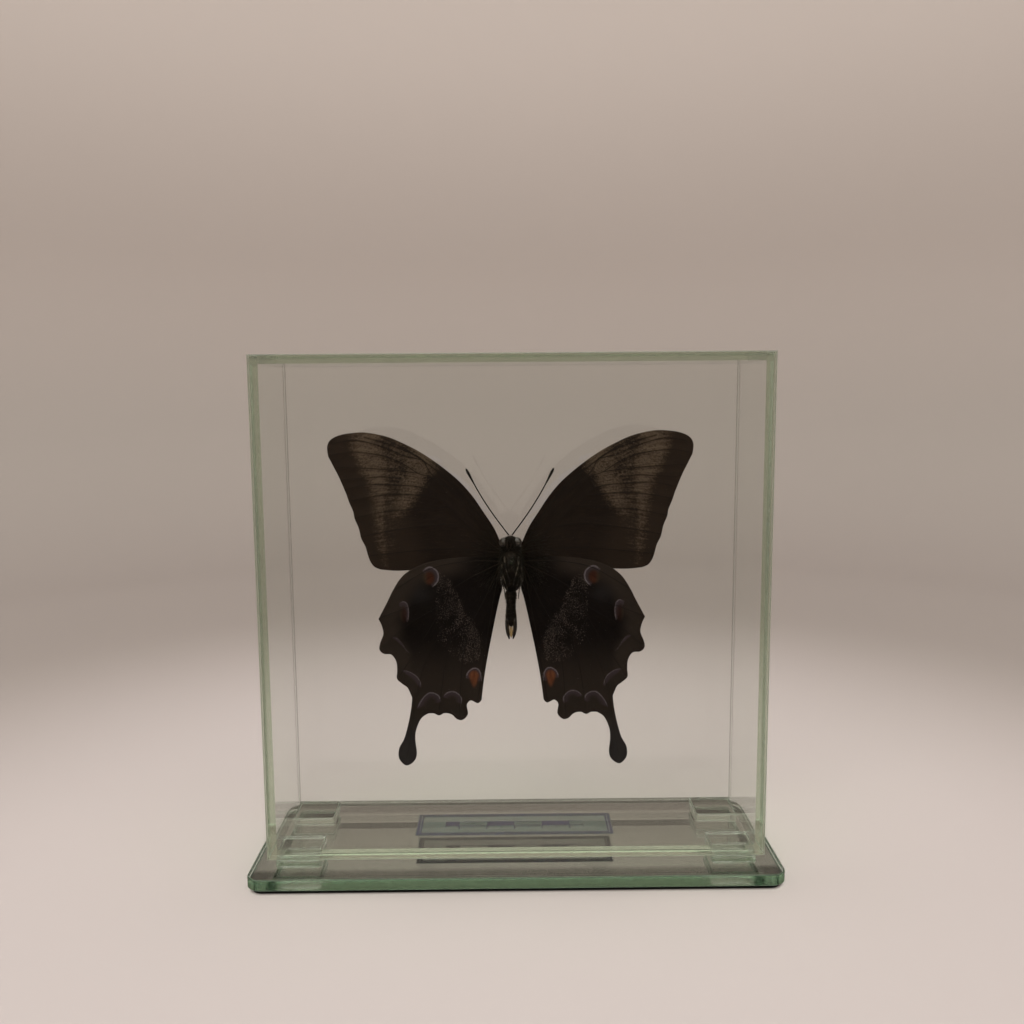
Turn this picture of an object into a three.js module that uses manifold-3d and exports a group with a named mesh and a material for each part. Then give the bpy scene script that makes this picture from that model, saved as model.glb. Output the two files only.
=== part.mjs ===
// Swallowtail butterfly in a glued rectangular glass case, on four small glass feet and a mirror base plate.
// Millimetres, +Z up, origin at the middle of the underside. The wings' dark underside faces -Y,
// their blue upper side faces +Y, and left and right are as seen from -Y.
import * as THREE from 'three';
import { mergeVertices } from 'three/addons/utils/BufferGeometryUtils.js';
import Module from 'manifold-3d';

const wasm = await Module();
wasm.setup();

// ---- Case, feet and base --------------------------------------------------------------------------

const CASE_WIDTH = 170;
const CASE_DEPTH = 45;
const CASE_HEIGHT = 170.5;
const GLASS = 3;              // thickness of the case's six panes
const BOND = 0.05;            // thickness of the clear adhesive in every glued joint
const ARRIS = 0.3;            // ground-off edge of each pane

const PLATE = { width: 182, depth: 60, thickness: 4, cornerRadius: 5, arris: 0.6 };
const COATING_THICKNESS = 0.2;
const BACKING = { thickness: 1.2, inset: 1.5, cornerRadius: 4 };

const FOOT = { side: 15, height: GLASS, insetX: 2.7, insetY: 0.5 };
const LABEL = { width: 71, depth: 17, thickness: 0.15, x: -0.4, y: 0.7 };

const COATING_Z = BACKING.thickness;
const PLATE_Z = COATING_Z + COATING_THICKNESS + BOND;
const FOOT_Z = PLATE_Z + PLATE.thickness + BOND;
const CASE_Z = FOOT_Z + FOOT.height + BOND;
const INNER_FRONT = -CASE_DEPTH / 2 + GLASS;

// ---- Butterfly ------------------------------------------------------------------------------------
// Everything on it is measured from its middle: x to the right, h upwards, and y in depth.

const SPECIMEN = { x: -0.8, h: 112.2 };
const FOREWING_Y = -11.5;
const HINDWING_Y = -12.4;
const WING_SWEEP = THREE.MathUtils.degToRad(2.5);   // the tips lie a little further from the front pane
const MEMBRANE = 0.35;
const VEIN_RADIUS = 0.3;
const VEIN_TIP_RADIUS = 0.22;
const BODY_Y = -14;
const BODY_FLATTENING = 1.08;                       // depth of the body over its width
const TOUCH = 0.3;                                  // gap between pieces of the insect that touch

// Wing outlines: distance from the body's axis, and height. Each stretch is a smooth curve.
const FOREWING_OUTLINE = [
  // front edge, from the root to the tip
  [[3.2, -2.6], [3.2, 2.2], [4.2, 5.2], [6.3, 9.6], [9.3, 14.2], [12.8, 19.4], [16.7, 24.0], [20.9, 27.8],
    [25.6, 31.4], [30.8, 34.8], [36.0, 37.5], [41.5, 39.8], [48.5, 41.2], [54.0, 41.0], [58.0, 40.2],
    [60.7, 38.7], [61.8, 36.4], [61.5, 33.2]],
  // outer margin, faintly scalloped between the veins
  [[61.5, 33.2], [60.0, 30.2], [58.0, 26.2], [56.8, 23.3], [55.7, 20.5], [54.8, 17.7], [53.5, 14.4],
    [53.1, 12.1], [51.8, 8.8], [51.0, 5.3], [49.7, 2.6], [49.0, 0.1], [48.1, -2.6], [46.7, -4.5],
    [44.6, -5.4]],
  // hind edge, back to the root
  [[44.6, -5.4], [40.0, -5.8], [35.0, -5.7], [24.0, -5.0], [12.0, -3.6], [3.2, -2.6]],
];
const HINDWING_OUTLINE = [
  // front edge, mostly behind the forewing's hind edge
  [[3.8, -1.4], [8.0, -1.0], [14.0, -1.0], [21.5, -1.5], [27.5, -2.6], [31.5, -4.0], [35.0, -5.8],
    [38.0, -8.5], [40.6, -12.6], [42.3, -16.0], [44.0, -19.2], [45.7, -22.4]],
  // scalloped outer margin, lobe by lobe, down to the tail
  [[45.7, -22.4], [44.6, -25.0], [44.2, -27.8], [45.4, -31.0], [45.6, -33.3], [44.1, -34.7], [41.6, -35.0],
    [40.0, -37.4], [39.7, -40.5], [39.8, -43.5], [38.0, -45.3], [36.3, -46.6], [35.4, -48.4], [34.7, -50.2]],
  // tail
  [[34.7, -50.2], [35.1, -54.0], [36.1, -59.0], [37.7, -64.7], [39.6, -68.4], [39.8, -71.8], [38.4, -74.0],
    [36.7, -74.6], [34.3, -72.8], [33.5, -70.0], [33.9, -65.3], [33.5, -61.6], [31.7, -57.6], [29.2, -55.8]],
  // margin between the tail and the inner lobe
  [[29.2, -55.8], [27.2, -55.8], [25.5, -56.5], [23.5, -55.7], [21.1, -56.2], [19.3, -57.8], [17.3, -58.0],
    [15.5, -56.0], [15.8, -52.7], [14.4, -51.1], [12.0, -52.0], [10.7, -50.9]],
  // inner edge along the abdomen
  [[10.7, -50.9], [10.1, -46.0], [9.3, -40.5], [7.9, -32.8], [6.4, -25.5], [5.1, -19.3], [4.0, -14.6],
    [3.2, -11.4], [3.8, -8.4], [3.8, -1.4]],
];

// Veins, from the root outwards.
const FOREWING_VEINS = [
  [[3.6, 2.4], [9.0, 11.0], [20.0, 24.0], [37.0, 36.8]],
  [[3.6, 1.6], [11.0, 12.0], [20.0, 21.0], [34.0, 30.0], [48.0, 37.0], [59.6, 37.6]],
  [[34.0, 30.0], [43.0, 36.0], [53.0, 40.0]],
  [[34.0, 30.0], [36.0, 27.4], [48.0, 30.6], [59.0, 29.6]],
  [[36.0, 27.4], [35.4, 23.8], [46.0, 24.8], [56.6, 24.4]],
  [[35.4, 23.8], [33.0, 20.0], [43.0, 19.4], [54.4, 18.2]],
  [[33.0, 20.0], [28.0, 16.0], [40.0, 13.6], [52.6, 12.4]],
  [[3.6, 1.0], [14.0, 7.6], [21.0, 11.6], [28.0, 16.0]],
  [[21.0, 11.6], [35.0, 7.6], [50.6, 6.0]],
  [[3.6, 0.4], [22.0, 1.4], [48.0, -0.6]],
];
const HINDWING_VEINS = [
  [[4.2, -2.4], [14.0, -2.4], [27.0, -4.8], [39.8, -12.2]],
  [[4.2, -3.2], [14.0, -8.0], [24.0, -14.0], [34.0, -17.6], [45.0, -22.0]],
  [[24.0, -14.0], [25.4, -18.0], [35.0, -24.0], [44.8, -32.2]],
  [[25.4, -18.0], [26.0, -22.0], [32.0, -32.0], [39.2, -43.0]],
  [[26.0, -22.0], [24.6, -26.6], [30.0, -38.0], [33.4, -50.0], [34.8, -60.0], [36.8, -71.0]],
  [[24.6, -26.6], [21.0, -29.0], [23.6, -42.0], [25.6, -55.8]],
  [[4.2, -4.2], [9.6, -16.0], [15.0, -25.0], [21.0, -29.0]],
  [[15.0, -25.0], [17.4, -40.0], [18.4, -57.2]],
  [[4.4, -6.0], [8.4, -28.0], [12.0, -51.0]],
];

// Body profiles: half width and height, from the front end down.
const THORAX_PROFILE = [
  [1.9, 1.8], [3.0, 0.9], [3.6, -1.4], [3.7, -4.4], [3.5, -7.4], [2.8, -10.2], [1.9, -12.0],
];
const HEAD = { x: -0.3, h: 4.3, halfWidth: 2.6, halfHeight: 2.2, halfDepth: 2.2 };
const EYE = { out: 1.9, radius: 1.65 };
const PALP = { out: 0.75, h: 3.5, radius: 0.75 };
const ABDOMEN_PROFILE = [
  [1.6, -12.3], [2.0, -13.6], [1.95, -16.0], [1.8, -18.2], [2.0, -20.6], [1.9, -22.8], [1.2, -24.0],
];
const ABDOMEN_X = -0.3;
const SEGMENT_LENGTH = 1.5;
const SEGMENT_RIDGE = 0.07;
const CLASPER = { length: 7.6, top: -21.4, out: 1.25, bend: 0.5 };

// Legs folded against the chest: distance from the middle and height of the hip, knee, ankle and foot.
const LEG_RADIUS = 0.24;
const LEGS = {
  front: [[2.3, 0.0], [2.2, -3.0], [1.2, -6.5], [0.6, -9.4]],
  middle: [[3.0, -2.2], [3.3, -5.0], [2.3, -8.2], [1.4, -11.2]],
  hind: [[3.1, -6.9], [3.2, -9.2], [2.6, -11.2], [2.2, -14.6]],
};

const ANTENNA = { rootOut: 0.6, rootH: 6.82, length: 26.4, lean: 0.56, bow: 0.6, radius: 0.2 };
const ANTENNA_CLUB = { length: 4.2, radius: 0.46, taper: 1.2 };

const ADHESIVE = { h: -1.2, radius: 1.4, waist: 1.05 };

// ---- Shapes ---------------------------------------------------------------------------------------

function finish(color, roughness, metalness = 0, opacity = 1) {
  return new THREE.MeshStandardMaterial({ color, roughness, metalness, opacity, transparent: opacity < 1 });
}

const object = new THREE.Group();

function add(name, geometry, material, place = [0, 0, 0]) {
  const mesh = new THREE.Mesh(geometry, material);
  mesh.name = name;
  mesh.position.set(...place);
  object.add(mesh);
  return mesh;
}

// Slab lying in XY with a chamfered rim, its underside at height 0.
function slab(outline, thickness, arris, curveSegments = 6) {
  const bevel = { bevelEnabled: arris > 0, bevelThickness: arris, bevelSize: arris, bevelOffset: -arris };
  const depth = thickness - 2 * arris;
  const geometry = new THREE.ExtrudeGeometry(outline, { depth, ...bevel, bevelSegments: 1, curveSegments });
  return geometry.translate(0, 0, arris);
}

function roundedRectangle(width, depth, radius) {
  const [x, y] = [width / 2, depth / 2];
  const shape = new THREE.Shape();
  if (radius === 0) {
    return shape.moveTo(-x, -y).lineTo(x, -y).lineTo(x, y).lineTo(-x, y);
  }
  shape.absarc(x - radius, y - radius, radius, 0, Math.PI / 2);
  shape.absarc(radius - x, y - radius, radius, Math.PI / 2, Math.PI);
  shape.absarc(radius - x, radius - y, radius, Math.PI, Math.PI * 1.5);
  shape.absarc(x - radius, radius - y, radius, Math.PI * 1.5, Math.PI * 2);
  return shape;
}

function pane(width, height, thickness = GLASS) {
  return slab(roundedRectangle(width, height, 0), thickness, ARRIS);
}

function smooth(points) {
  return new THREE.SplineCurve(points.map(([x, y]) => new THREE.Vector2(x, y)));
}

// Solid turned about Z from a smooth profile of [radius, height], closed flat at both ends.
function turned(profile, rings, segments, ridge = () => 0) {
  const side = smooth(profile).getSpacedPoints(rings);
  side.forEach((point) => { point.x += ridge(point.y); });
  const ends = [new THREE.Vector2(0, side[0].y), new THREE.Vector2(0, side[rings].y)];
  return new THREE.LatheGeometry([ends[1], ...side.reverse(), ends[0]], segments);
}

// Rib along a curve in XZ, with four sides, thinning towards its end.
function rib(points, radius, tipRadius) {
  const line = smooth(points).getPoints(points.length - 1);
  const corners = [];
  line.forEach((point, i) => {
    const before = line[Math.max(i - 1, 0)];
    const after = line[Math.min(i + 1, line.length - 1)];
    const across = after.clone().sub(before).normalize();
    const reach = THREE.MathUtils.lerp(radius, tipRadius, i / (line.length - 1));
    corners.push([point.x - across.y * reach, 0, point.y + across.x * reach], [point.x, reach, point.y]);
    corners.push([point.x + across.y * reach, 0, point.y - across.x * reach], [point.x, -reach, point.y]);
  });
  const last = corners.length - 4;
  const faces = [0, 1, 2, 0, 2, 3, last, last + 2, last + 1, last, last + 3, last + 2];
  for (let ring = 0; ring < last; ring += 4) {
    for (let i = 0; i < 4; i += 1) {
      const [a, b] = [ring + i, ring + ((i + 1) % 4)];
      faces.push(a, a + 4, b, b, a + 4, b + 4);
    }
  }
  const geometry = new THREE.BufferGeometry();
  geometry.setAttribute('position', new THREE.Float32BufferAttribute(corners.flat(), 3));
  return geometry.setIndex(faces);
}

function tube(points, radius, sides, steps) {
  const path = new THREE.CatmullRomCurve3(points.map((point) => new THREE.Vector3(...point)));
  const section = new THREE.Shape();
  for (let i = 0; i < sides; i += 1) {
    const angle = (i / sides) * Math.PI * 2;
    const corner = [radius * Math.cos(angle), radius * Math.sin(angle)];
    if (i === 0) section.moveTo(...corner);
    else section.lineTo(...corner);
  }
  section.closePath();
  return new THREE.ExtrudeGeometry(section, { steps, extrudePath: path });
}

// ---- Joining --------------------------------------------------------------------------------------

function toSolid(geometry) {
  const bare = geometry.clone();
  bare.deleteAttribute('normal');
  bare.deleteAttribute('uv');
  const merged = mergeVertices(bare.index ? bare.toNonIndexed() : bare, 1e-4);
  const triangles = [...merged.index.array];
  const kept = [];
  for (let i = 0; i < triangles.length; i += 3) {
    const [a, b, c] = triangles.slice(i, i + 3);
    if (a !== b && b !== c && c !== a) kept.push(a, b, c);
  }
  const vertProperties = merged.attributes.position.array;
  return new wasm.Manifold(new wasm.Mesh({ numProp: 3, vertProperties, triVerts: Uint32Array.from(kept) }));
}

function fuse(geometries) {
  const [first, ...others] = geometries.map(toSolid);
  const whole = others.reduce((sum, solid) => sum.add(solid), first);
  const { numProp, vertProperties, triVerts } = whole.getMesh();
  const positions = new Float32Array((vertProperties.length / numProp) * 3);
  for (let i = 0; i < positions.length / 3; i += 1) {
    positions.set(vertProperties.subarray(i * numProp, i * numProp + 3), i * 3);
  }
  const geometry = new THREE.BufferGeometry();
  geometry.setAttribute('position', new THREE.BufferAttribute(positions, 3));
  geometry.setIndex([...triVerts]);
  return geometry;
}

// ---- Base and case --------------------------------------------------------------------------------

const clearGlass = () => finish(0xcfe3d6, 0.02, 0, 0.3);

function buildBase() {
  const sheet = (inset, radius) => roundedRectangle(PLATE.width - 2 * inset, PLATE.depth - 2 * inset, radius);

  const backing = slab(sheet(BACKING.inset, BACKING.cornerRadius), BACKING.thickness, 0);
  add('backing_sheet', backing, finish(0x14140f, 0.9));

  const coating = slab(sheet(PLATE.arris, PLATE.cornerRadius), COATING_THICKNESS, 0);
  add('mirror_coating', coating, finish(0xc8ccc8, 0.03, 1), [0, 0, COATING_Z]);

  const plate = slab(sheet(0, PLATE.cornerRadius), PLATE.thickness, PLATE.arris);
  add('mirror_glass', plate, finish(0x9fc7ae, 0.02, 0, 0.35), [0, 0, PLATE_Z]);
}

function buildFeet() {
  const reachX = CASE_WIDTH / 2 - FOOT.insetX - FOOT.side / 2;
  const reachY = CASE_DEPTH / 2 - FOOT.insetY - FOOT.side / 2;
  for (const [side, x] of [['left', -reachX], ['right', reachX]]) {
    for (const [end, y] of [['front', -reachY], ['back', reachY]]) {
      add(`foot_${end}_${side}`, pane(FOOT.side, FOOT.side, FOOT.height), clearGlass(), [x, y, FOOT_Z]);
    }
  }
}

// The front and back panes cover the case's whole face. The sides stand between them, full height,
// and the top and bottom lie between all four.
function buildCase() {
  const sideDepth = CASE_DEPTH - 2 * GLASS - 2 * BOND;
  const lidWidth = CASE_WIDTH - 2 * GLASS - 2 * BOND;

  const face = pane(CASE_WIDTH, CASE_HEIGHT).rotateX(Math.PI / 2).translate(0, GLASS / 2, CASE_HEIGHT / 2);
  const faceY = CASE_DEPTH / 2 - GLASS / 2;
  add('pane_front', face, clearGlass(), [0, -faceY, CASE_Z]);
  add('pane_back', face.clone(), clearGlass(), [0, faceY, CASE_Z]);

  const side = pane(CASE_HEIGHT, sideDepth).rotateY(Math.PI / 2).translate(-GLASS / 2, 0, CASE_HEIGHT / 2);
  const sideX = CASE_WIDTH / 2 - GLASS / 2;
  add('pane_left', side, clearGlass(), [-sideX, 0, CASE_Z]);
  add('pane_right', side.clone(), clearGlass(), [sideX, 0, CASE_Z]);

  add('pane_bottom', pane(lidWidth, sideDepth), clearGlass(), [0, 0, CASE_Z]);
  add('pane_top', pane(lidWidth, sideDepth), clearGlass(), [0, 0, CASE_Z + CASE_HEIGHT - GLASS]);
}

function buildLabel() {
  const film = slab(roundedRectangle(LABEL.width, LABEL.depth, 0), LABEL.thickness, 0);
  add('label', film, finish(0xc9d2dc, 0.4), [LABEL.x, LABEL.y, CASE_Z - BOND - LABEL.thickness]);
}

// ---- Butterfly ------------------------------------------------------------------------------------

function addToSpecimen(name, geometry, material) {
  return add(name, geometry, material, [SPECIMEN.x, 0, SPECIMEN.h]);
}

// A wing is a thin membrane, standing in XZ at depth 0, with its veins as ribs on both sides.
function wing(outline, veins) {
  const shape = new THREE.Shape();
  outline.forEach((stretch, i) => {
    const points = stretch.map(([x, h]) => new THREE.Vector2(x, h));
    if (i === 0) shape.moveTo(points[0].x, points[0].y);
    shape.splineThru(points.slice(1));
  });
  const flat = { depth: MEMBRANE, bevelEnabled: false, curveSegments: 2 };
  const membrane = new THREE.ExtrudeGeometry(shape, flat).rotateX(Math.PI / 2).translate(0, MEMBRANE / 2, 0);
  return fuse([membrane, ...veins.map((vein) => rib(vein, VEIN_RADIUS, VEIN_TIP_RADIUS))]);
}

function buildWings() {
  const pairs = [
    ['forewing', FOREWING_OUTLINE, FOREWING_VEINS, FOREWING_Y],
    ['hindwing', HINDWING_OUTLINE, HINDWING_VEINS, HINDWING_Y],
  ];
  for (const [name, outline, veins, y] of pairs) {
    const right = wing(outline, veins);
    const left = right.clone().rotateZ(Math.PI);
    addToSpecimen(`${name}_right`, right.rotateZ(WING_SWEEP).translate(0, y, 0), finish(0x1e1814, 0.8));
    addToSpecimen(`${name}_left`, left.rotateZ(-WING_SWEEP).translate(0, y, 0), finish(0x1e1814, 0.8));
  }
}

// Depth of the chest's surface at a place on its front side.
function chestY(x, h) {
  const side = smooth(THORAX_PROFILE).getSpacedPoints(40);
  const nearest = side.reduce((best, point) => (Math.abs(point.y - h) < Math.abs(best.y - h) ? point : best));
  const across = Math.min(Math.abs(x) / nearest.x, 0.94);
  return BODY_Y - nearest.x * BODY_FLATTENING * Math.sqrt(1 - across * across);
}

function buildBody() {
  const thorax = turned(THORAX_PROFILE, 12, 20).rotateX(Math.PI / 2).scale(1, BODY_FLATTENING, 1);
  addToSpecimen('thorax', thorax.translate(0, BODY_Y, 0), finish(0x2a241f, 0.9));

  const skull = new THREE.SphereGeometry(1, 14, 9).scale(HEAD.halfWidth, HEAD.halfDepth, HEAD.halfHeight);
  const eyes = [-1, 1].map((side) => new THREE.SphereGeometry(EYE.radius, 10, 8)
    .translate(side * EYE.out, 0, 0));
  const palps = [-1, 1].map((side) => new THREE.SphereGeometry(PALP.radius, 8, 6)
    .scale(0.8, 1.2, 1.7)
    .translate(side * PALP.out, -HEAD.halfDepth * 0.8, PALP.h - HEAD.h));
  const head = fuse([skull, ...eyes, ...palps]).translate(HEAD.x, BODY_Y, HEAD.h);
  addToSpecimen('head', head, finish(0x3a332c, 0.8));
}

function clasper(side) {
  const profile = [[0.5, 0], [0.85, -1.6], [0.62, -4.4], [0.16, -CLASPER.length]];
  const horn = turned(profile, 7, 8).rotateX(Math.PI / 2);
  const positions = horn.attributes.position;
  for (let i = 0; i < positions.count; i += 1) {
    const along = -positions.getZ(i) / CLASPER.length;
    positions.setX(i, positions.getX(i) - side * CLASPER.bend * along * along);
  }
  return horn.translate(side * CLASPER.out, 0, CLASPER.top);
}

function buildAbdomen() {
  const ridge = (h) => SEGMENT_RIDGE * Math.cos(((h - ABDOMEN_PROFILE[0][1]) / SEGMENT_LENGTH) * Math.PI * 2);
  const trunk = turned(ABDOMEN_PROFILE, 22, 16, ridge).rotateX(Math.PI / 2);
  const abdomen = fuse([trunk, clasper(-1), clasper(1)]).translate(ABDOMEN_X, BODY_Y, 0);
  addToSpecimen('abdomen', abdomen, finish(0x2b251f, 0.85));
}

function buildLegs() {
  for (const [side, sign] of [['left', -1], ['right', 1]]) {
    for (const [place, joints] of Object.entries(LEGS)) {
      const path = joints.map(([x, h]) => [sign * x, chestY(x, h) - LEG_RADIUS - TOUCH, h]);
      addToSpecimen(`leg_${place}_${side}`, tube(path, LEG_RADIUS, 5, 9), finish(0x4a4036, 0.7));
    }
  }
}

// A straight thread that thickens into a club, then bowed a little towards the middle.
function antenna(sign) {
  const clubStart = ANTENNA.length - ANTENNA_CLUB.length;
  const profile = [
    [ANTENNA.radius, 0], [ANTENNA.radius, clubStart * 0.5], [ANTENNA.radius, clubStart],
    [ANTENNA_CLUB.radius, ANTENNA.length - ANTENNA_CLUB.taper], [ANTENNA.radius, ANTENNA.length],
  ];
  const thread = turned([...profile].reverse(), 13, 6).rotateX(Math.PI / 2);
  const positions = thread.attributes.position;
  for (let i = 0; i < positions.count; i += 1) {
    const along = positions.getZ(i) / ANTENNA.length;
    positions.setX(i, positions.getX(i) - sign * ANTENNA.bow * Math.sin(Math.PI * along));
  }
  thread.rotateY(sign * ANTENNA.lean);
  return thread.translate(HEAD.x + sign * ANTENNA.rootOut, BODY_Y, ANTENNA.rootH);
}

function buildAntennae() {
  addToSpecimen('antenna_left', antenna(-1), finish(0x191512, 0.6));
  addToSpecimen('antenna_right', antenna(1), finish(0x191512, 0.6));
}

// A drop of clear adhesive joins the chest to the front pane.
function buildAdhesive() {
  const length = chestY(0, ADHESIVE.h) - TOUCH - (INNER_FRONT + BOND);
  const profile = [[ADHESIVE.radius, length], [ADHESIVE.waist, length / 2], [ADHESIVE.radius, 0]];
  const drop = turned(profile, 4, 16).translate(0, INNER_FRONT + BOND, 0);
  addToSpecimen('adhesive_drop', drop.translate(0, 0, ADHESIVE.h), finish(0xe6efe9, 0.05, 0, 0.4));
}

buildBase();
buildFeet();
buildCase();
buildLabel();
buildWings();
buildBody();
buildAbdomen();
buildLegs();
buildAntennae();
buildAdhesive();

export default object;
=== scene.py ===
"""Swallowtail butterfly in a glued glass case on a mirror base: its finished surfaces, hairs and glass."""
import math

import bmesh
import bpy
import numpy as np
from mathutils import Matrix, Vector
from mathutils.geometry import delaunay_2d_cdt


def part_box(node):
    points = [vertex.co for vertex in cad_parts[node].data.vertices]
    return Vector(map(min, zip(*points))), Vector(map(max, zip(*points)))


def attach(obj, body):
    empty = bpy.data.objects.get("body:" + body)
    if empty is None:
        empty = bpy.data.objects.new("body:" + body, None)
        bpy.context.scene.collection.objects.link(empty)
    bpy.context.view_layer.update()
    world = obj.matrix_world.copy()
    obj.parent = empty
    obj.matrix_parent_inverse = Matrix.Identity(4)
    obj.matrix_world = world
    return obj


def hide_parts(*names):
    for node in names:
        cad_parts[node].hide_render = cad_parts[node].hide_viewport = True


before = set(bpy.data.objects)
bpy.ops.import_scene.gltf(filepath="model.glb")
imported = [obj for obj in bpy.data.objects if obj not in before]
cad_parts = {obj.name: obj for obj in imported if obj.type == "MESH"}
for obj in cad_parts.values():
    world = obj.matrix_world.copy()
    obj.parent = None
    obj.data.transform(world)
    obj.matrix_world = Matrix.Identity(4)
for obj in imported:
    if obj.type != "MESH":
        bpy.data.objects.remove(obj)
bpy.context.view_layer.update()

MM = 0.001

# ---- Sizes, in millimetres ------------------------------------------------------------------------

ARRIS = 0.3                 # ground edge of a pane's outer face
BOND = 0.05                 # clear adhesive in a glued joint
WET = BOND + 0.02           # how far a pane's glued edge reaches into the adhesive and its neighbour
PLATE_CORNER = 5.0
PLATE_ARRIS = 0.35
FOOT_CORNER = 0.8
FOOT_ARRIS = 0.25
BEAD_RADIUS = 0.42          # clear adhesive pressed out around a foot
BEAD_CORNER = 1.6

THORAX_TOP = 1.8            # the thorax's front end above the butterfly's own origin
BODY_FLATTENING = 1.08      # depth of the body over its width
ABDOMEN_X = -0.3
HEAD_X = -0.3
TOUCH = 0.3                 # gap between pieces of the insect that touch
WING_SWEEP = math.radians(2.5)
WING_ROOT = 3.4             # from the body's axis
VEINS_MEET = {"forewing": (3.5, 1.0), "hindwing": (3.5, -4.0)}
RADIAN_LENGTH = 30.0        # what a radian round the veins' meeting place counts for in the streaks
WING_THICKNESS = 0.16
WING_SPACING = 0.36         # between the points of a wing's surface

# Wing outlines: distance from the body's axis, and height. Each stretch is a smooth curve.
FOREWING_OUTLINE = [
    # front edge, from the root to the tip
    [(3.2, -2.6), (3.2, 2.2), (4.2, 5.2), (6.3, 9.6), (9.3, 14.2), (12.8, 19.4), (16.7, 24.0), (20.9, 27.8),
     (25.6, 31.4), (30.8, 34.8), (36.0, 37.5), (41.5, 39.8), (48.5, 41.2), (54.0, 41.0), (58.0, 40.2),
     (60.7, 38.7), (61.8, 36.4), (61.5, 33.2)],
    # outer margin, faintly scalloped between the veins
    [(61.5, 33.2), (60.0, 30.2), (58.0, 26.2), (56.8, 23.3), (55.7, 20.5), (54.8, 17.7), (53.5, 14.4),
     (53.1, 12.1), (51.8, 8.8), (51.0, 5.3), (49.7, 2.6), (49.0, 0.1), (48.1, -2.6), (46.7, -4.5),
     (44.6, -5.4)],
    # hind edge, back to the root
    [(44.6, -5.4), (40.0, -5.8), (35.0, -5.7), (24.0, -5.0), (12.0, -3.6), (3.2, -2.6)],
]
HINDWING_OUTLINE = [
    # front edge, mostly behind the forewing's hind edge
    [(3.8, -1.4), (8.0, -1.0), (14.0, -1.0), (21.5, -1.5), (27.5, -2.6), (31.5, -4.0), (35.0, -5.8),
     (38.0, -8.5), (40.6, -12.6), (42.3, -16.0), (44.0, -19.2), (45.7, -22.4)],
    # scalloped outer margin, lobe by lobe, down to the tail
    [(45.7, -22.4), (44.6, -25.0), (44.2, -27.8), (45.4, -31.0), (45.6, -33.3), (44.1, -34.7),
     (41.6, -35.0), (40.0, -37.4), (39.7, -40.5), (39.8, -43.5), (38.0, -45.3), (36.3, -46.6),
     (35.4, -48.4), (34.7, -50.2)],
    # tail
    [(34.7, -50.2), (35.1, -54.0), (36.1, -59.0), (37.7, -64.7), (39.6, -68.4), (39.8, -71.8),
     (38.4, -74.0), (36.7, -74.6), (34.3, -72.8), (33.5, -70.0), (33.9, -65.3), (33.5, -61.6),
     (31.7, -57.6), (29.2, -55.8)],
    # margin between the tail and the inner lobe
    [(29.2, -55.8), (27.2, -55.8), (25.5, -56.5), (23.5, -55.7), (21.1, -56.2), (19.3, -57.8),
     (17.3, -58.0), (15.5, -56.0), (15.8, -52.7), (14.4, -51.1), (12.0, -52.0), (10.7, -50.9)],
    # inner edge along the abdomen
    [(10.7, -50.9), (10.1, -46.0), (9.3, -40.5), (7.9, -32.8), (6.4, -25.5), (5.1, -19.3), (4.0, -14.6),
     (3.2, -11.4), (3.8, -8.4), (3.8, -1.4)],
]

# Veins, from the root outwards.
FOREWING_VEINS = [
    [(3.6, 2.4), (9.0, 11.0), (20.0, 24.0), (32.0, 33.4), (43.0, 39.6)],
    [(3.6, 1.6), (11.0, 12.0), (20.0, 21.6), (26.5, 27.0), (29.8, 32.0), (35.3, 35.0), (41.4, 37.5),
     (49.0, 39.6)],
    [(29.8, 32.0), (36.0, 33.4), (43.0, 36.4), (52.0, 38.6), (59.6, 37.6)],
    [(20.0, 21.6), (26.5, 25.8), (31.0, 27.4), (36.4, 30.7), (43.0, 33.4), (53.2, 34.7), (60.4, 33.8)],
    [(31.0, 27.4), (37.3, 28.3), (48.4, 29.2), (59.0, 29.6)],
    [(36.7, 25.7), (42.9, 26.3), (47.8, 26.0), (57.4, 25.4)],
    [(26.5, 25.8), (28.0, 22.4), (26.9, 21.2)],
    [(3.6, 1.0), (14.0, 9.0), (21.0, 16.0), (26.9, 21.2), (31.5, 22.9), (37.4, 23.4), (48.2, 23.7),
     (56.0, 22.0)],
    [(25.0, 19.6), (30.7, 20.0), (37.1, 20.4), (44.9, 19.9), (54.8, 18.2)],
    [(21.0, 16.0), (30.0, 15.4), (42.0, 14.6), (52.8, 12.4)],
    [(14.0, 9.0), (24.0, 10.0), (37.0, 8.6), (50.8, 6.0)],
    [(3.6, 0.4), (22.0, 1.8), (48.4, -0.6)],
]
HINDWING_VEINS = [
    [(4.2, -2.4), (14.0, -2.4), (27.0, -4.8), (39.8, -12.2)],
    [(4.2, -3.2), (14.0, -8.0), (24.0, -14.0), (34.0, -17.6), (45.0, -22.0)],
    [(24.0, -14.0), (25.4, -18.0), (35.0, -24.0), (44.8, -32.2)],
    [(25.4, -18.0), (26.0, -22.0), (32.0, -32.0), (39.2, -43.0)],
    [(26.0, -22.0), (24.6, -26.6), (30.0, -38.0), (33.4, -50.0), (34.8, -60.0), (36.8, -71.0)],
    [(24.6, -26.6), (21.0, -29.0), (23.6, -42.0), (25.6, -55.8)],
    [(4.2, -4.2), (9.6, -16.0), (15.0, -25.0), (21.0, -29.0)],
    [(15.0, -25.0), (17.4, -40.0), (18.4, -57.2)],
    [(4.4, -6.0), (8.4, -28.0), (12.0, -51.0)],
]

VEIN_THINNING = ((0, 18, 60), (0.21, 0.14, 0.1))    # distances from the root, and the radius there

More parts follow.
